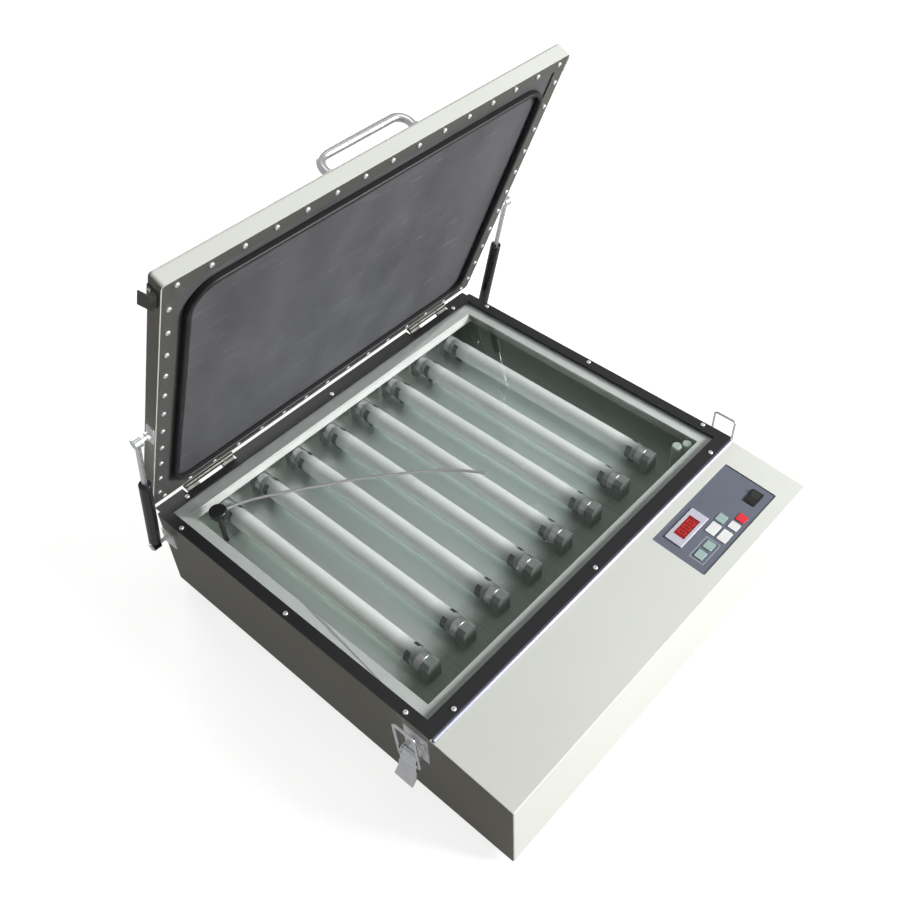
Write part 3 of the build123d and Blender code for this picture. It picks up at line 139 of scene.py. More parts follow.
class Finish:
    """One material, built node by node round its Principled shader."""

    # A colour Mix node keeps these sockets behind those for numbers and vectors.
    mix_factor, mix_first, mix_second, mix_result = 0, 6, 7, 2

    def __init__(self, name):
        self.material = bpy.data.materials.new(name)
        self.material.use_nodes = True
        self.tree = self.material.node_tree
        self.shader = self.tree.nodes["Principled BSDF"]
        self.coordinates = self.node("ShaderNodeTexCoord").output("Object")

    def node(self, kind, settings=None, values=()):
        """Make a node; the wire that comes back is its first output."""
        made = self.tree.nodes.new(kind)
        for name, value in (settings or {}).items():
            setattr(made, name, value)
        pairs = values.items() if isinstance(values, dict) else enumerate(values)
        for key, value in pairs:
            self.feed(made.inputs[key], value)
        return Wire(self, made.outputs[0])

    def feed(self, socket, value):
        if isinstance(value, Wire):
            self.tree.links.new(value.socket, socket)
        else:
            socket.default_value = value

    def set(self, **values):
        """Feed the shader; an underscore stands for the space in a socket's name."""
        for name, value in values.items():
            self.feed(self.shader.inputs[name.replace("_", " ")], value)

    def plan(self):
        """The x and y of the shaded point, in metres."""
        x = self.node("ShaderNodeSeparateXYZ", {}, (self.coordinates,))
        return x, x.output("Y")

    def stretched(self, x, y, z):
        """Object coordinates with a scale of their own along each axis."""
        return self.node("ShaderNodeMapping", {}, {"Vector": self.coordinates, "Scale": (x, y, z)})

    def grain(self, scale, detail=3.0, vector=None):
        """Cloudy noise between 0 and 1; scale is in spots per metre."""
        values = {"Vector": vector or self.coordinates, "Scale": scale, "Detail": detail}
        return self.node("ShaderNodeTexNoise", {}, values)

    def tint(self, factor, first, second):
        """From the first colour at factor 0 to the second at 1."""
        colours = {self.mix_factor: factor, self.mix_first: first, self.mix_second: second}
        return self.node("ShaderNodeMix", {"data_type": "RGBA"}, colours).output(self.mix_result)

    def relief(self, height, distance):
        """A bump: the height runs from 0 to 1, the distance is its depth in metres."""
        values = {"Strength": 1.0, "Distance": distance, "Height": height}
        self.set(Normal=self.node("ShaderNodeBump", {}, values))


def paint_colour(red, green, blue):
    """A colour from its screen values of 0 to 255, by the usual curve of screens."""
    parts = []
    for value in (red, green, blue):
        share = value / 255
        parts.append(share / 12.92 if share <= 0.04045 else ((share + 0.055) / 1.055) ** 2.4)
    return (*parts, 1.0)


print("middle grey as light:", round(paint_colour(128, 128, 128)[0], 3))


# %% [markdown]
# ## Painted steel
# Powder coat is never quite flat: it has an orange peel with spots of about a millimetre,
# clouds of slightly different tone and a thin dust on it. Three layers of noise give these: a
# fine one for the relief, a middle one for the dust and a broad one for the clouds. Clouds
# and dust change the tone and the gloss.

# %% Powder coats
def powder_coat(name, light, dark, gloss=0.38, peel=0.00005, spots=0.0):
    """Paint between two screen colours; peel is the relief in metres, spots more dust."""
    finish = Finish(name)
    clouds = finish.grain(scale=5.0, detail=4.0)
    dust = finish.grain(scale=260.0, detail=5.0).rising(start=0.62, slope=6.0)
    shade = (clouds * 0.7 + dust * (0.25 + spots)).clamped()
    finish.set(
        Base_Color=finish.tint(shade, paint_colour(*light), paint_colour(*dark)),
        Roughness=gloss + clouds * 0.12 + dust * 0.1,
    )
    finish.relief(finish.grain(scale=850.0, detail=2.0), peel)
    return finish.material


cream_coat = powder_coat("cream powder coat", (224, 227, 221), (211, 214, 208))
black_coat = powder_coat(
    "black frame coat", (24, 24, 27), (40, 40, 43), gloss=0.36, peel=0.00004, spots=0.2
)
strut_coat = powder_coat(
    "strut lacquer", (20, 20, 22), (36, 36, 38), gloss=0.22, peel=0.00001
)
clamp_coat = powder_coat(
    "grey clamp paint", (84, 84, 80), (62, 62, 60), gloss=0.42, peel=0.00004, spots=0.3
)
rail_enamel = powder_coat(
    "white rail enamel", (240, 241, 240), (222, 225, 224), gloss=0.25, peel=0.00001
)
choke_grey = powder_coat("ballast paint", (150, 154, 156), (124, 128, 130), gloss=0.45)
print("painted finishes: 6")


# %% [markdown]
# ## Bare metal
# Zinc plate is dull with a cloudy sheen, chrome is bright with faint smears, and the rolled
# trim has long fine streaks along the direction it was rolled in. All of them are fully
# metallic; only the tone, the gloss and the stretch of the noise differ.

# %% Metals
def bare_metal(
    name, light, dark, gloss, spread=0.2, stretch=(1.0, 1.0, 1.0), scale=90.0, depth=0.0
):
    """Metal between two screen colours; spread is how far its gloss varies."""
    finish = Finish(name)
    streaks = finish.grain(scale, detail=5.0, vector=finish.stretched(*stretch))
    smears = finish.grain(scale=26.0)
    shade = (streaks * 0.8 + smears * 0.3).clamped()
    finish.set(
        Base_Color=finish.tint(shade, paint_colour(*light), paint_colour(*dark)),
        Metallic=1.0,
        Roughness=gloss + streaks * spread + smears * (spread * 0.5),
    )
    if depth:
        finish.relief(streaks, depth)
    return finish.material


zinc_plate = bare_metal("zinc plate", (252, 252, 250), (222, 224, 228), gloss=0.42)
dark_zinc = bare_metal("blackened zinc", (104, 102, 98), (66, 65, 63), gloss=0.3)
chrome_plate = bare_metal(
    "chrome plate", (238, 239, 242), (212, 214, 219), gloss=0.2, spread=0.1
)
trim_metal = bare_metal(
    "brushed trim", (150, 150, 164), (122, 122, 136), gloss=0.42, spread=0.16,
    stretch=(0.02, 6.0, 6.0), scale=160.0, depth=0.00002,
)
cap_metal = bare_metal("lamp cap", (196, 198, 200), (158, 160, 164), gloss=0.28)
clip_metal = bare_metal("spring clip steel", (118, 124, 124), (78, 84, 84), gloss=0.3)
pump_metal = bare_metal(
    "cast pump housing", (168, 170, 172), (128, 130, 133), gloss=0.45, scale=300.0, depth=0.0001
)
print("metal finishes: 7")


# %% [markdown]
# ## Plastic and rubber
# Moulded pieces have a fine spark-eroded texture and slight differences in tone. The same
# function makes the matte ones, the glossy keys and the rubber of the feet and the hose.

# %% Moulded finishes
def moulded(name, light, dark, gloss, texture=1400.0, depth=0.00002, coat=0.0):
    """Plastic or rubber between two screen colours; texture is in spots per metre."""
    finish = Finish(name)
    clouds = finish.grain(scale=34.0)
    fine = finish.grain(texture, detail=2.0)
    finish.set(
        Base_Color=finish.tint(clouds, paint_colour(*light), paint_colour(*dark)),
        Roughness=gloss + fine * 0.1 + clouds * 0.06,
        Coat_Weight=coat,
    )
    finish.relief(fine, depth)
    return finish.material


black_plastic = moulded("black plastic", (22, 22, 24), (34, 34, 37), gloss=0.3)
holder_plastic = moulded("lampholder plastic", (140, 150, 146), (118, 128, 124), gloss=0.5)
starter_plastic = moulded("starter cap", (196, 214, 204), (176, 196, 186), gloss=0.4)
bezel_plastic = moulded("lilac bezel", (204, 204, 216), (190, 190, 204), gloss=0.35)
white_key = moulded("white key", (240, 240, 240), (224, 224, 226), gloss=0.3, coat=0.2)
red_key = moulded("red key", (236, 56, 72), (214, 40, 58), gloss=0.3, coat=0.2)
green_key = moulded("pale green key", (170, 194, 190), (150, 176, 172), gloss=0.3, coat=0.2)
board_mask = moulded(
    "solder mask", (26, 84, 46), (18, 62, 34), gloss=0.3, texture=500.0, depth=0.00005
)
foot_rubber = moulded(
    "foot rubber", (30, 30, 30), (44, 43, 42), gloss=0.7, texture=700.0, depth=0.0001
)
bead_rubber = moulded(
    "seal rubber", (14, 14, 15), (26, 26, 28), gloss=0.42, texture=500.0, depth=0.00008
)
gasket_foam = moulded(
    "ledge foam", (222, 228, 226), (210, 217, 214), gloss=0.8, texture=420.0, depth=0.0002
)
print("moulded finishes: 11")


# %% [markdown]
# ## The control panel
# The panel is sprayed blue grey and has a printed frame round its two left keys. Comparisons
# draw that frame: it lies inside a large box and not inside a smaller one.

# %% Sprayed panel
print_middle = (0.1402, -0.3205)
print_outer_half = (0.0235, 0.0125)
print_inner_half = (0.0228, 0.0118)


def inside_box(x, y, middle, half_size):
    """1 inside a box of the plan, 0 outside it."""
    return (abs(x - middle[0]) < half_size[0]) * (abs(y - middle[1]) < half_size[1])


panel_finish = Finish("sprayed panel")
panel_x, panel_y = panel_finish.plan()
print_outer = inside_box(panel_x, panel_y, print_middle, print_outer_half)
print_inner = inside_box(panel_x, panel_y, print_middle, print_inner_half)
spray = panel_finish.grain(scale=1800.0, detail=2.0)
sprayed_tone = panel_finish.tint(
    panel_finish.grain(scale=22.0), paint_colour(96, 101, 114), paint_colour(108, 113, 127)
)
panel_finish.set(
    Base_Color=panel_finish.tint(
        print_outer - print_inner, sprayed_tone, paint_colour(196, 200, 208)
    ),
    Roughness=0.42 + spray * 0.12,
)
panel_finish.relief(spray, 0.00003)
print("printed frame at x, y:", print_middle)

# %% [markdown]
# ## The display
# The display is a dark red window with three pale red digits in it. Both get a faint painted
# glow, though the display is switched off, as red plastic seems to glow beside grey paint.

# %% Window and digits
# painted glow: the display is switched off
painted_glow = 0.12

window_finish = Finish("red display window")
haze = window_finish.grain(scale=40.0)
window_red = window_finish.tint(haze, paint_colour(160, 26, 26), paint_colour(132, 14, 16))
window_finish.set(
    Base_Color=window_red,
    Roughness=0.1 + haze * 0.08,
    Emission_Color=window_red,
    Emission_Strength=painted_glow,
)

digit_finish = Finish("bars of the digits")
speckle = digit_finish.grain(scale=900.0, detail=2.0)
bar_red = digit_finish.tint(speckle, paint_colour(196, 66, 56), paint_colour(178, 50, 44))
digit_finish.set(
    Base_Color=bar_red,
    Roughness=0.4 + speckle * 0.1,
    Emission_Color=bar_red,
    Emission_Strength=painted_glow,
)
print("display finishes: 2")

# %% [markdown]
# ## Glass
# A clear sheet shows what lies under it and mirrors a little of what stands over it. A
# metallic shader whose alpha is the Fresnel share does both without bending the light. Only
# faces turned to the ray count: a straight ray would otherwise be trapped at the far one.
# Fingermarks leave a thin film, which mirrors a little more and less sharply.

# %% Glass finish
glass_finish = Finish("clear glass")
film = glass_finish.grain(scale=9.0, detail=4.0).rising(start=0.55, slope=1.0) * 0.05
mirrored = glass_finish.node("ShaderNodeFresnel", {}, {"IOR": 1.52}) * 1.1
near_face = 1.0 - glass_finish.node("ShaderNodeNewGeometry").output("Backfacing")
glass_finish.set(
    Base_Color=(0.93, 1.0, 0.975, 1.0),
    Metallic=1.0,
    Roughness=0.015 + film * 0.3,
    Alpha=((mirrored + film) * near_face).clamped(),
)
print("glass finish: 1")

# %% [markdown]
# ## Lamps
# The lamps are phosphor-coated glass: white, glossy, and painted greyer near both caps, a
# painted shade that stands for the shadow of the front rail and frame on their front ends. The
# distance from the middle of the tube tells where that is.

# %% Lamp finish
lamp_middle_y = 0.0885
lamp_white_half = 0.165

lamp_finish = Finish("phosphor lamp")
lamp_y = lamp_finish.plan()[1]
# painted shade near both caps, for the shadow of the front rail and frame on the front ends
painted_end_shade = abs(lamp_y - lamp_middle_y).rising(start=lamp_white_half, slope=26.0)
powder = lamp_finish.grain(scale=180.0, detail=4.0)
lamp_white = lamp_finish.tint(powder, paint_colour(248, 253, 252), paint_colour(240, 248, 246))
lamp_finish.set(
    Base_Color=lamp_finish.tint(painted_end_shade, lamp_white, paint_colour(128, 138, 134)),
    Roughness=0.16 + powder * 0.06,
    Coat_Weight=0.5,
)
print("lamps stay white for", 2 * lamp_white_half, "m")

# %% [markdown]
# ## Reflector sheet
# Under the lamps lies a bright rolled sheet that spreads their light into broad bands. It is
# bright only beneath the lamps; towards the right wall and the front it is painted in a grey
# green shade for the shadow that those walls cast into the box, and its gloss is duller there.
# Two climbing values, one along x and one along y, make that shaded margin.

# %% Reflector finish
shade_from_x = 0.262
shade_from_y = -0.085

reflector_finish = Finish("reflector sheet")
sheet_x, sheet_y = reflector_finish.plan()
# painted shade: the right wall and the front ledge shade these margins, where the sheet is also
# duller
right_wall_shade = sheet_x.rising(start=shade_from_x, slope=30.0)
front_ledge_shade = ((shade_from_y - sheet_y) * 22.0).clamped()
shaded_margin = (right_wall_shade + front_ledge_shade).clamped()
rolled = reflector_finish.grain(
    scale=60.0, detail=5.0, vector=reflector_finish.stretched(6.0, 0.05, 6.0)
)
bright = reflector_finish.tint(rolled, paint_colour(246, 252, 250), paint_colour(226, 236, 233))
# grey green painted shade for the shaded margins
painted_shade = reflector_finish.tint(rolled, paint_colour(142, 158, 148), paint_colour(120, 135, 126))
reflector_finish.set(
    Base_Color=reflector_finish.tint(shaded_margin, bright, painted_shade),
    Metallic=0.75 - shaded_margin * 0.45,
    Roughness=0.3 + rolled * 0.14 + shaded_margin * 0.2,
)
reflector_finish.relief(rolled, 0.00004)
print("reflector dull beyond x", shade_from_x, "and before y", shade_from_y)

# %% [markdown]
# ## Dress the rigid pieces
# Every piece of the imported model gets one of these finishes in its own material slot. Its
# mesh and its place are left as they are.

# %% Finishes of the rigid pieces
dressed = {
    cream_coat: ("base_housing", "bottom_plate", "lid_shell"),
    black_coat: ("glass_frame",),
    strut_coat: ("strut_cylinder_left", "strut_cylinder_right"),
    clamp_coat: ("clamp_frame",),
    rail_enamel: ("lamp_rails",),
    choke_grey: ("ballasts",),
    zinc_plate: (
        "frame_screws", "clamp_screws", "handle_screws", "hinge_body_screws", "hinge_lid_screws",
        "strut_base_brackets", "strut_lid_brackets", "side_rivets", "lid_rivets",
    ),
    dark_zinc: ("hinge_body_leaves", "hinge_lid_leaves", "hinge_pins", "catch_plates"),
    chrome_plate: (
        "lid_handle", "latch_bases", "latch_lever_left", "latch_lever_right",
        "latch_bail_left", "latch_bail_right", "strut_rod_left", "strut_rod_right",
    ),
    trim_metal: ("front_trim_strip",),
    reflector_finish.material: ("reflector_tray",),
    cap_metal: ("tube_caps",),
    clip_metal: ("tube_clips",),
    pump_metal: ("vacuum_pump",),
    black_plastic: ("vacuum_port", "mains_inlet", "rocker_bezel", "power_rocker"),
    holder_plastic: ("lampholders",),
    starter_plastic: ("lamp_starters",),
    bezel_plastic: ("display_bezel",),
    white_key: ("button_white_upper", "button_white_lower", "button_white_small"),
    red_key: ("button_red",),
    green_key: ("button_green_left", "button_green_middle", "button_green_right"),
    board_mask: ("timer_board",),
    foot_rubber: ("rubber_feet", "vacuum_hose"),
    gasket_foam: ("ledge_gasket",),
    panel_finish.material: ("control_panel",),
    window_finish.material: ("display_window",),
    glass_finish.material: ("glass_plate",),
    lamp_finish.material: ("uv_tubes",),
}
for material, names in dressed.items():
    for name in names:
        for slot in nodes[name].material_slots:
            slot.material = material
print("dressed:", sum(len(names) for names in dressed.values()))

# %% [markdown]
# ## Placing new pieces
# At rest the lid leans back by 67 degrees from shut, so its pieces are made in a flat drawing
# whose X runs across the lid, Y from the hinge towards its free edge and Z towards the glass.
# One matrix then lays them in place. The panel has a matrix of its own, because the deck
# slopes.

# %% Lid and panel drawings
hinge_axis = (0, 0.35053, 0.172)
lean = math.radians(67)
lid_drawing = axes_at(
    origin=hinge_axis,
    right=(1, 0, 0),
    up=(0, -math.cos(lean), math.sin(lean)),
    towards=(0, -math.sin(lean), -math.cos(lean)),
)
deck_rise = 0.0115
deck_depth = 0.138
panel_middle = (0.2016, -0.297811, 0.153383)
deck_slope = math.atan2(deck_rise, deck_depth)
panel_drawing = axes_at(
    origin=panel_middle,
    right=(1, 0, 0),
    up=(0, math.cos(deck_slope), math.sin(deck_slope)),
    towards=(0, -math.sin(deck_slope), math.cos(deck_slope)),
)
print("deck slope:", round(math.degrees(deck_slope), 2), "degrees")


# %% [markdown]
# ## Finishing a piece
# Every new piece ends in the same way: it is laid in place, gets smooth faces that stay sharp
# at its edges, its finish, and the body that it moves with. Only a closed shape has its faces
# turned outwards, because on an open sheet that may turn its front to the back.

# %% From a shape to a piece
def finished_piece(name, shape, place, material, body, sharp=40, closed=True):
    """Lay a bmesh in place, shade it and let it ride on a body."""
    bmesh.ops.transform(shape, matrix=place, verts=shape.verts)
    if closed:
        bmesh.ops.recalc_face_normals(shape, faces=shape.faces)
    for face in shape.faces:
        face.smooth = True
    mesh = bpy.data.meshes.new(name)
    shape.to_mesh(mesh)
    shape.free()
    mesh.set_sharp_from_angle(angle=math.radians(sharp))
    mesh.materials.append(material)
    piece = bpy.data.objects.new(name, mesh)
    bpy.context.collection.objects.link(piece)
    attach(piece, body)
    print(name, "faces:", len(mesh.polygons))
    return piece


# %% [markdown]
# ## Bleeder cord
# A thin woven cord lies on the glass from the round port towards the middle, so that the last
# air can leave under the blanket. It is one smooth spline through a few points on the glass,
# with a round bevel. Its order is set after its points, or it would stay a row of straights.

# %% Bleeder cord
glass_top = 0.1645
cord_radius = 0.00225
cord_height = glass_top + cord_radius
cord_route = [
    (-0.2745, 0.26993), (-0.252, 0.26353), (-0.220, 0.24453), (-0.182, 0.21853),
    (-0.143, 0.19053), (-0.104, 0.16353), (-0.064, 0.12853), (-0.033, 0.10353),
    (-0.006, 0.07753), (0.018, 0.04753), (0.035, 0.01953),
]
cord_curve = bpy.data.curves.new("bleeder_cord_woven", "CURVE")
cord_curve.dimensions = "3D"
cord_line = cord_curve.splines.new("NURBS")
cord_line.points.add(len(cord_route) - 1)
for point, (x, y) in zip(cord_line.points, cord_route):
    point.co = (x, y, cord_height, 1.0)
cord_line.order_u = 3
cord_line.use_endpoint_u = True
cord_line.resolution_u = 8
cord_curve.bevel_depth = cord_radius
cord_curve.bevel_resolution = 4
cord_curve.use_fill_caps = True
print("points of the cord:", len(cord_line.points))

# %% [markdown]
# ## Weave of the cord
# Slanting bands of a wave texture stand for the strands, in tone and in relief.

# %% Cord finish and facts
cord_finish = Finish("woven cord")
strands = cord_finish.node(
    "ShaderNodeTexWave",
    {"wave_type": "BANDS", "bands_direction": "DIAGONAL"},
    {"Vector": cord_finish.coordinates, "Scale": 420.0, "Distortion": 2.0, "Detail": 2.0},
).output("Fac")
cord_finish.set(
    Base_Color=cord_finish.tint(strands, paint_colour(132, 132, 134), paint_colour(188, 187, 190)),
    Roughness=0.7 + strands * 0.15,
)
cord_finish.relief(strands, 0.0002)
cord_curve.materials.append(cord_finish.material)
cord = bpy.data.objects.new("bleeder_cord_woven", cord_curve)
bpy.context.collection.objects.link(cord)
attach(cord, "cabinet")
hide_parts("bleeder_cord")
print("cord thickness:", 2 * cord_radius, "m")

# %% [markdown]
# ## Rubber blanket
# The blanket is a sheet of cloth-backed rubber, clamped all round and slightly slack inside
# its seal. A grid with soft waves shows that better than a flat plate: long shallow ripples
# in the middle that die out towards the clamped rim.

# %% Shape of the blanket
blanket_width = 0.692
blanket_length = 0.566
blanket_middle = 0.296  # from the hinge, along the lid
blanket_face = -0.0021  # behind the clamp frame, which is 2 mm thick with its face at 0
slack_middle = 0.293
slack_half_width = 0.3
slack_half_length = 0.245
slack_depth = 0.0011
ripples = (  # share of the depth, waves along x and y in radians per metre, phase
    (0.5, 19, 9, 0), (0.35, 11, -23, 1.2), (0.25, 37, 31, 0.4),
)


def slack(x, y):
    """How far the sheet stands out of its plane, in metres."""
    across = max(0.0, 1 - (x / slack_half_width) ** 4)
    along = max(0.0, 1 - ((y - slack_middle) / slack_half_length) ** 4)
    waves = sum(
        share * math.sin(rate_x * x + rate_y * y + phase)
        for share, rate_x, rate_y, phase in ripples
    )
    return slack_depth * waves * across * along


shape = bmesh.new()
bmesh.ops.create_grid(shape, x_segments=72, y_segments=60, size=0.5)
bmesh.ops.scale(shape, vec=(blanket_width, blanket_length, 1), verts=shape.verts)
bmesh.ops.translate(shape, vec=(0, blanket_middle, blanket_face), verts=shape.verts)
for vert in shape.verts:
    vert.co.z += slack(vert.co.x, vert.co.y)
print("points of the blanket:", len(shape.verts))

# %% [markdown]
# ## Finish of the blanket
# Rubber that is wiped and pressed again and again has broad rubbed clouds and a few thin
# scuffs across it, over a very fine weave. Solidify gives the sheet its thickness behind the
# face that looks at the glass, so the port keeps clear of it when the lid is shut.

# %% Blanket sheet
blanket_finish = Finish("blanket rubber")
weave = blanket_finish.grain(scale=1300.0, detail=2.0)
rubbed = blanket_finish.grain(
    scale=14.0, detail=6.0, vector=blanket_finish.stretched(1.0, 0.5, 0.5)
)
scuffs = blanket_finish.grain(
    scale=70.0, detail=6.0, vector=blanket_finish.stretched(0.3, 1.6, 1.6)
)
worn_rubber = blanket_finish.tint(
    rubbed.rising(start=0.3, slope=2.0), paint_colour(71, 71, 75), paint_colour(94, 94, 99)
)
blanket_finish.set(
    Base_Color=blanket_finish.tint(
        scuffs.rising(start=0.6, slope=5.0) * 0.3, worn_rubber, paint_colour(146, 146, 150)
    ),
    Roughness=0.5 + weave * 0.1 + rubbed * 0.12,
)
blanket_finish.relief(weave * 0.4 + rubbed * 0.6, 0.0003)
blanket = finished_piece(
    "blanket_sheet", shape, lid_drawing, blanket_finish.material, "lid",
    closed=False,
)
blanket_wall = blanket.modifiers.new("thickness", "SOLIDIFY")
blanket_wall.thickness = 0.0016
blanket_wall.offset = -1
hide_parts("rubber_blanket")

# %% [markdown]
# ## Seal bead
# A ring of soft black rubber stands on the blanket and meets the glass when the lid is shut.
# It starts as one rectangle: its corners are rounded by a vertex bevel, an inset makes it a
# ring, and solidify gives the ring its height. A bevel modifier rounds its edges.

# %% Seal bead
bead_half_width = 0.316
bead_low = 0.040  # its two ends, from the hinge
bead_high = 0.546
bead_low_corner = 0.040
bead_high_corner = 0.045
bead_width = 0.007
bead_height = 0.0092
bead_foot = -0.002  # at the face of the blanket

shape = bmesh.new()
corners = [
    shape.verts.new(point)
    for point in (
        (-bead_half_width, bead_low, 0), (bead_half_width, bead_low, 0),
        (bead_half_width, bead_high, 0), (-bead_half_width, bead_high, 0),
    )
]
shape.faces.new(corners)
for pair, radius in ((corners[:2], bead_low_corner), (corners[2:], bead_high_corner)):
    bmesh.ops.bevel(
        shape, geom=pair, offset=radius, offset_type="OFFSET", segments=12, profile=0.5,
        affect="VERTICES", material=-1,
    )
inside_ring = list(shape.faces)
bmesh.ops.inset_region(
    shape, faces=inside_ring, thickness=bead_width, use_even_offset=True, use_boundary=True
)
bmesh.ops.delete(shape, geom=inside_ring, context="FACES")
bmesh.ops.solidify(shape, geom=list(shape.faces), thickness=bead_height)
lowest = min(vert.co.z for vert in shape.verts)
bmesh.ops.translate(shape, vec=(0, 0, bead_foot - lowest), verts=shape.verts)
bead = finished_piece(
    "seal_bead_ring", shape, lid_drawing, bead_rubber, "lid", sharp=60
)
bead_edges = bead.modifiers.new("rounded edges", "BEVEL")
bead_edges.width = 0.0021
bead_edges.segments = 4
bead_edges.limit_method = "ANGLE"
bead_edges.angle_limit = math.radians(60)
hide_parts("seal_bead")

# %% [markdown]
# ## Cross drives of the screws
# The pan-head screws of the glass frame and the clamp frame have cross recesses that catch
# the light as a dark plus. Two thin dark bars on each head paint the shade in the recesses; a
# few faces each are enough, because there are dozens of them. Each cross is turned a little
# further than the one before, as screws end up.

# %% Cross drives
recess_shade_finish = Finish("shadowed recess")
recess_speckle = recess_shade_finish.grain(scale=2500.0, detail=2.0)
recess_shade_finish.set(
    Base_Color=recess_shade_finish.tint(
        recess_speckle, paint_colour(96, 96, 98), paint_colour(124, 124, 126)
    ),
    Metallic=1.0,
    Roughness=0.5 + recess_speckle * 0.2,
)
arm_size = (0.003, 0.0005, 0.0003)
arm_proud = 0.00003
turn_per_screw = 0.7


def cross_drives(name, heads, place, body):
    """Dark crosses of painted recess shade on the screw heads at these x, y and top, in one piece.
    """
    shape = bmesh.new()
    for number, (x, y, top) in enumerate(heads):
        turn = Matrix.Rotation(turn_per_screw * number, 4, "Z")
        for quarter in (0, math.pi / 2):
            arm = (
                Matrix.Translation((x, y, top + arm_proud - arm_size[2] / 2)) @ turn
                @ Matrix.Rotation(quarter, 4, "Z") @ Matrix.Diagonal((*arm_size, 1))
            )
            bmesh.ops.create_cube(shape, size=1, matrix=arm)
    return finished_piece(name, shape, place, recess_shade_finish.material, body)


print("arm of a cross:", arm_size[0], "m")

# %% [markdown]
# ## Where the screws are
# The glass frame has three screws along each side and three in its front and back rows. The
# clamp frame has a row of fifteen along its free edge and its hinge edge, and eleven more
# along each side.

# %% Screw heads
box_back = 0.34153
frame_head_top = 0.169  # above the floor
frame_side_x = 0.343
frame_side_depths = (0.051, 0.286, 0.521)  # from the back of the box
frame_row_x = 0.299
frame_row_depths = (0.007, 0.565)
frame_heads = [
    (side * frame_side_x, box_back - depth, frame_head_top)
    for side in (-1, 1)
    for depth in frame_side_depths
]
frame_heads += [
    (place * frame_row_x, box_back - depth, frame_head_top)
    for place in (-1, 0, 1)
    for depth in frame_row_depths
]
cross_drives("frame_screw_drives", frame_heads, Matrix.Identity(4), "cabinet")

clamp_head_top = 0.002
clamp_row_count = 15
clamp_row_pitch = 0.047
clamp_rows = (0.5716, 0.0204)  # from the hinge
clamp_column_count = 11
clamp_column_pitch = 0.0487
clamp_column_start = 0.532
clamp_column_x = 0.3386
clamp_heads = [
    ((number - (clamp_row_count - 1) / 2) * clamp_row_pitch, row, clamp_head_top)
    for number in range(clamp_row_count)
    for row in clamp_rows
]
clamp_heads += [
    (side * clamp_column_x, clamp_column_start - number * clamp_column_pitch, clamp_head_top)
    for number in range(clamp_column_count)
    for side in (-1, 1)
]
cross_drives("clamp_screw_drives", clamp_heads, lid_drawing, "lid")

# %% [markdown]
# ## Digits
# The display shows three seven-bar digits, switched off. Each bar is a thin strip just over
# the window and a little paler than it; the bars that make a nought are shown.

# %% Digits of the display
window_middle = (-0.0461, 0.021)
window_top = 0.00145
digit_pitch = 0.0118
digit_width = 0.0062
digit_height = 0.0115
bar_width = 0.0013
bar_thickness = 0.0001
upright_share = 0.4  # of the digit's height


def bars_of_nought(middle_x, middle_y):
    """Two level bars and four upright ones, each as x, y, width and height."""
    for end in (-1, 1):
        yield middle_x, middle_y + end * digit_height / 2, digit_width, bar_width
    for side in (-1, 1):
        for end in (-1, 1):
            x = middle_x + side * digit_width / 2
            y = middle_y + end * digit_height / 4
            yield x, y, bar_width, digit_height * upright_share


shape = bmesh.new()
for digit in (-1, 0, 1):
    digit_middle = (window_middle[0] + digit * digit_pitch, window_middle[1])
    for x, y, width, height in bars_of_nought(*digit_middle):
        size = Matrix.Diagonal((width, height, bar_thickness, 1))
        bar = Matrix.Translation((x, y, window_top)) @ size
        bmesh.ops.create_cube(shape, size=1, matrix=bar)
finished_piece(
    "display_digits", shape, panel_drawing, digit_finish.material, "cabinet"
)

# %% [markdown]
# ## Floor
# A pale floor runs past the picture. The camera, mirrors and glass see it nearly white, while
# the light that it throws back on the object stays modest, so that the shaded sides keep
# their depth and the object keeps its shadow. The kind of ray tells one from the other.

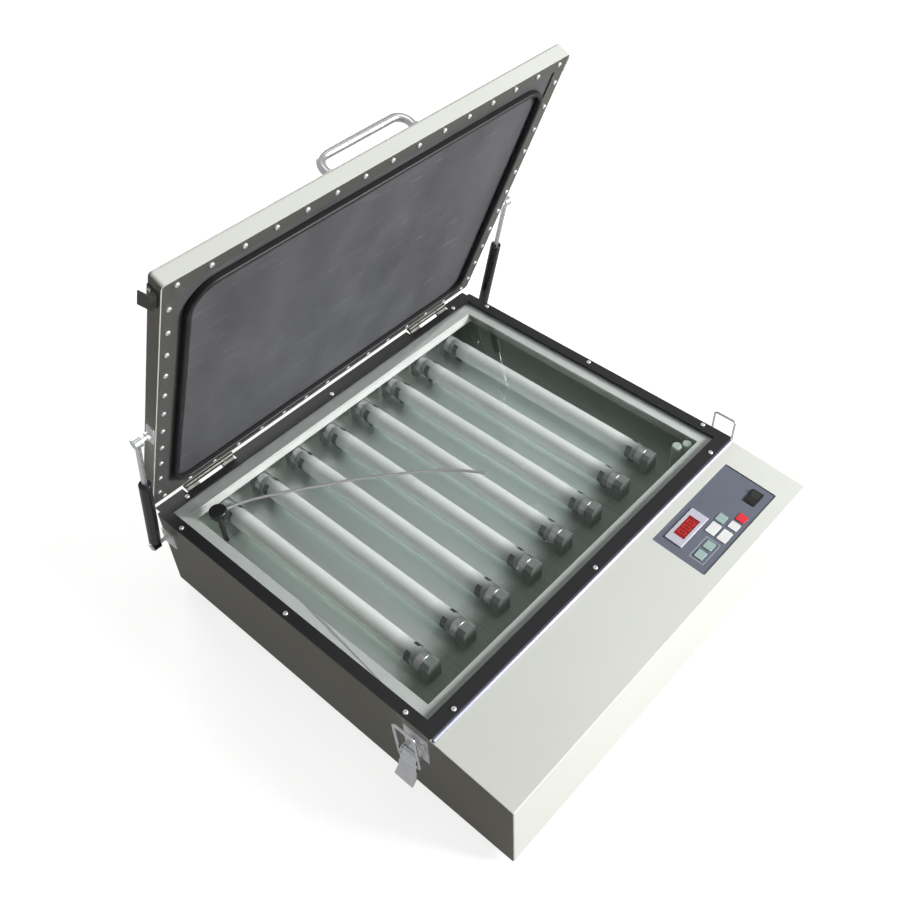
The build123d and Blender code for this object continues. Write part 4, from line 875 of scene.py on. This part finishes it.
# %% Floor
floor_half_side = 40
shape = bmesh.new()
bmesh.ops.create_grid(shape, x_segments=1, y_segments=1, size=floor_half_side)
floor_mesh = bpy.data.meshes.new("floor")
shape.to_mesh(floor_mesh)
shape.free()
floor = bpy.data.objects.new("floor", floor_mesh)
bpy.context.collection.objects.link(floor)
floor_finish = Finish("pale floor")
floor_rays = floor_finish.node("ShaderNodeLightPath")
floor_seen = (
    floor_rays.output("Is Camera Ray") + floor_rays.output("Is Glossy Ray") * 0.45
    + floor_rays.output("Is Transmission Ray")
).clamped()
floor_finish.set(
    Base_Color=floor_finish.tint(floor_seen, (0.06, 0.046, 0.024, 1), (0.5, 0.5, 0.5, 1)),
    Roughness=0.9,
    Specular_IOR_Level=0.0,
    Emission_Color=floor_finish.tint(floor_seen, (0, 0, 0, 1), (0.84, 0.84, 0.84, 1)),
    Emission_Strength=1.0,
)
floor_mesh.materials.append(floor_finish.material)
print("floor side:", 2 * floor_half_side, "m")


# %% [markdown]
# ## Sky
# The sky is white where the camera sees it, greyer in mirrors, and dim and warm for the light
# that it gives. The world has a node tree like a material's, so the same methods build it.

# %% Sky
class Sky(Finish):
    """The world, built node by node round its Background shader."""

    def __init__(self, name):
        self.world = bpy.data.worlds.new(name)
        self.world.use_nodes = True
        self.tree = self.world.node_tree
        self.shader = self.tree.nodes["Background"]


sky = Sky("studio sky")
sky_rays = sky.node("ShaderNodeLightPath")
sky_seen = (sky_rays.output("Is Glossy Ray") * 0.4 + sky_rays.output("Is Camera Ray")).clamped()
sky.set(Color=sky.tint(sky_seen, (0.055, 0.05, 0.04, 1), (1, 1, 1, 1)))
bpy.context.scene.world = sky.world
print("sky nodes:", len(sky.tree.nodes))


# %% [markdown]
# ## Lamps of the studio
# One large soft lamp stands low at the front right and lights the front, the deck and the
# lid. A weak one overhead and one behind keep the top edges and the back from going black.

# %% Lamps of the studio
def soft_lamp(name, place, target, size, power, colour):
    """A square area lamp that looks at the target."""
    lamp_data = bpy.data.lights.new(name, "AREA")
    lamp_data.size = size
    lamp_data.energy = power
    lamp_data.color = colour
    lamp = bpy.data.objects.new(name, lamp_data)
    lamp.location = place
    lamp.rotation_euler = (Vector(target) - Vector(place)).to_track_quat("-Z", "Y").to_euler()
    bpy.context.collection.objects.link(lamp)
    print(name, "power:", power, "W")


soft_lamp("key lamp", (1.7, -3.15, 1.66), (0, 0, 0.2), size=1.5, power=240, colour=(1, 0.995, 0.99))
soft_lamp("top lamp", (0.4, -0.4, 3.2), (0, 0, 0.2), size=1.6, power=12, colour=(0.96, 1, 0.99))
soft_lamp("back lamp", (0.9, 3.1, 1.5), (0, 0, 0.3), size=1.4, power=40, colour=(1, 1, 1))
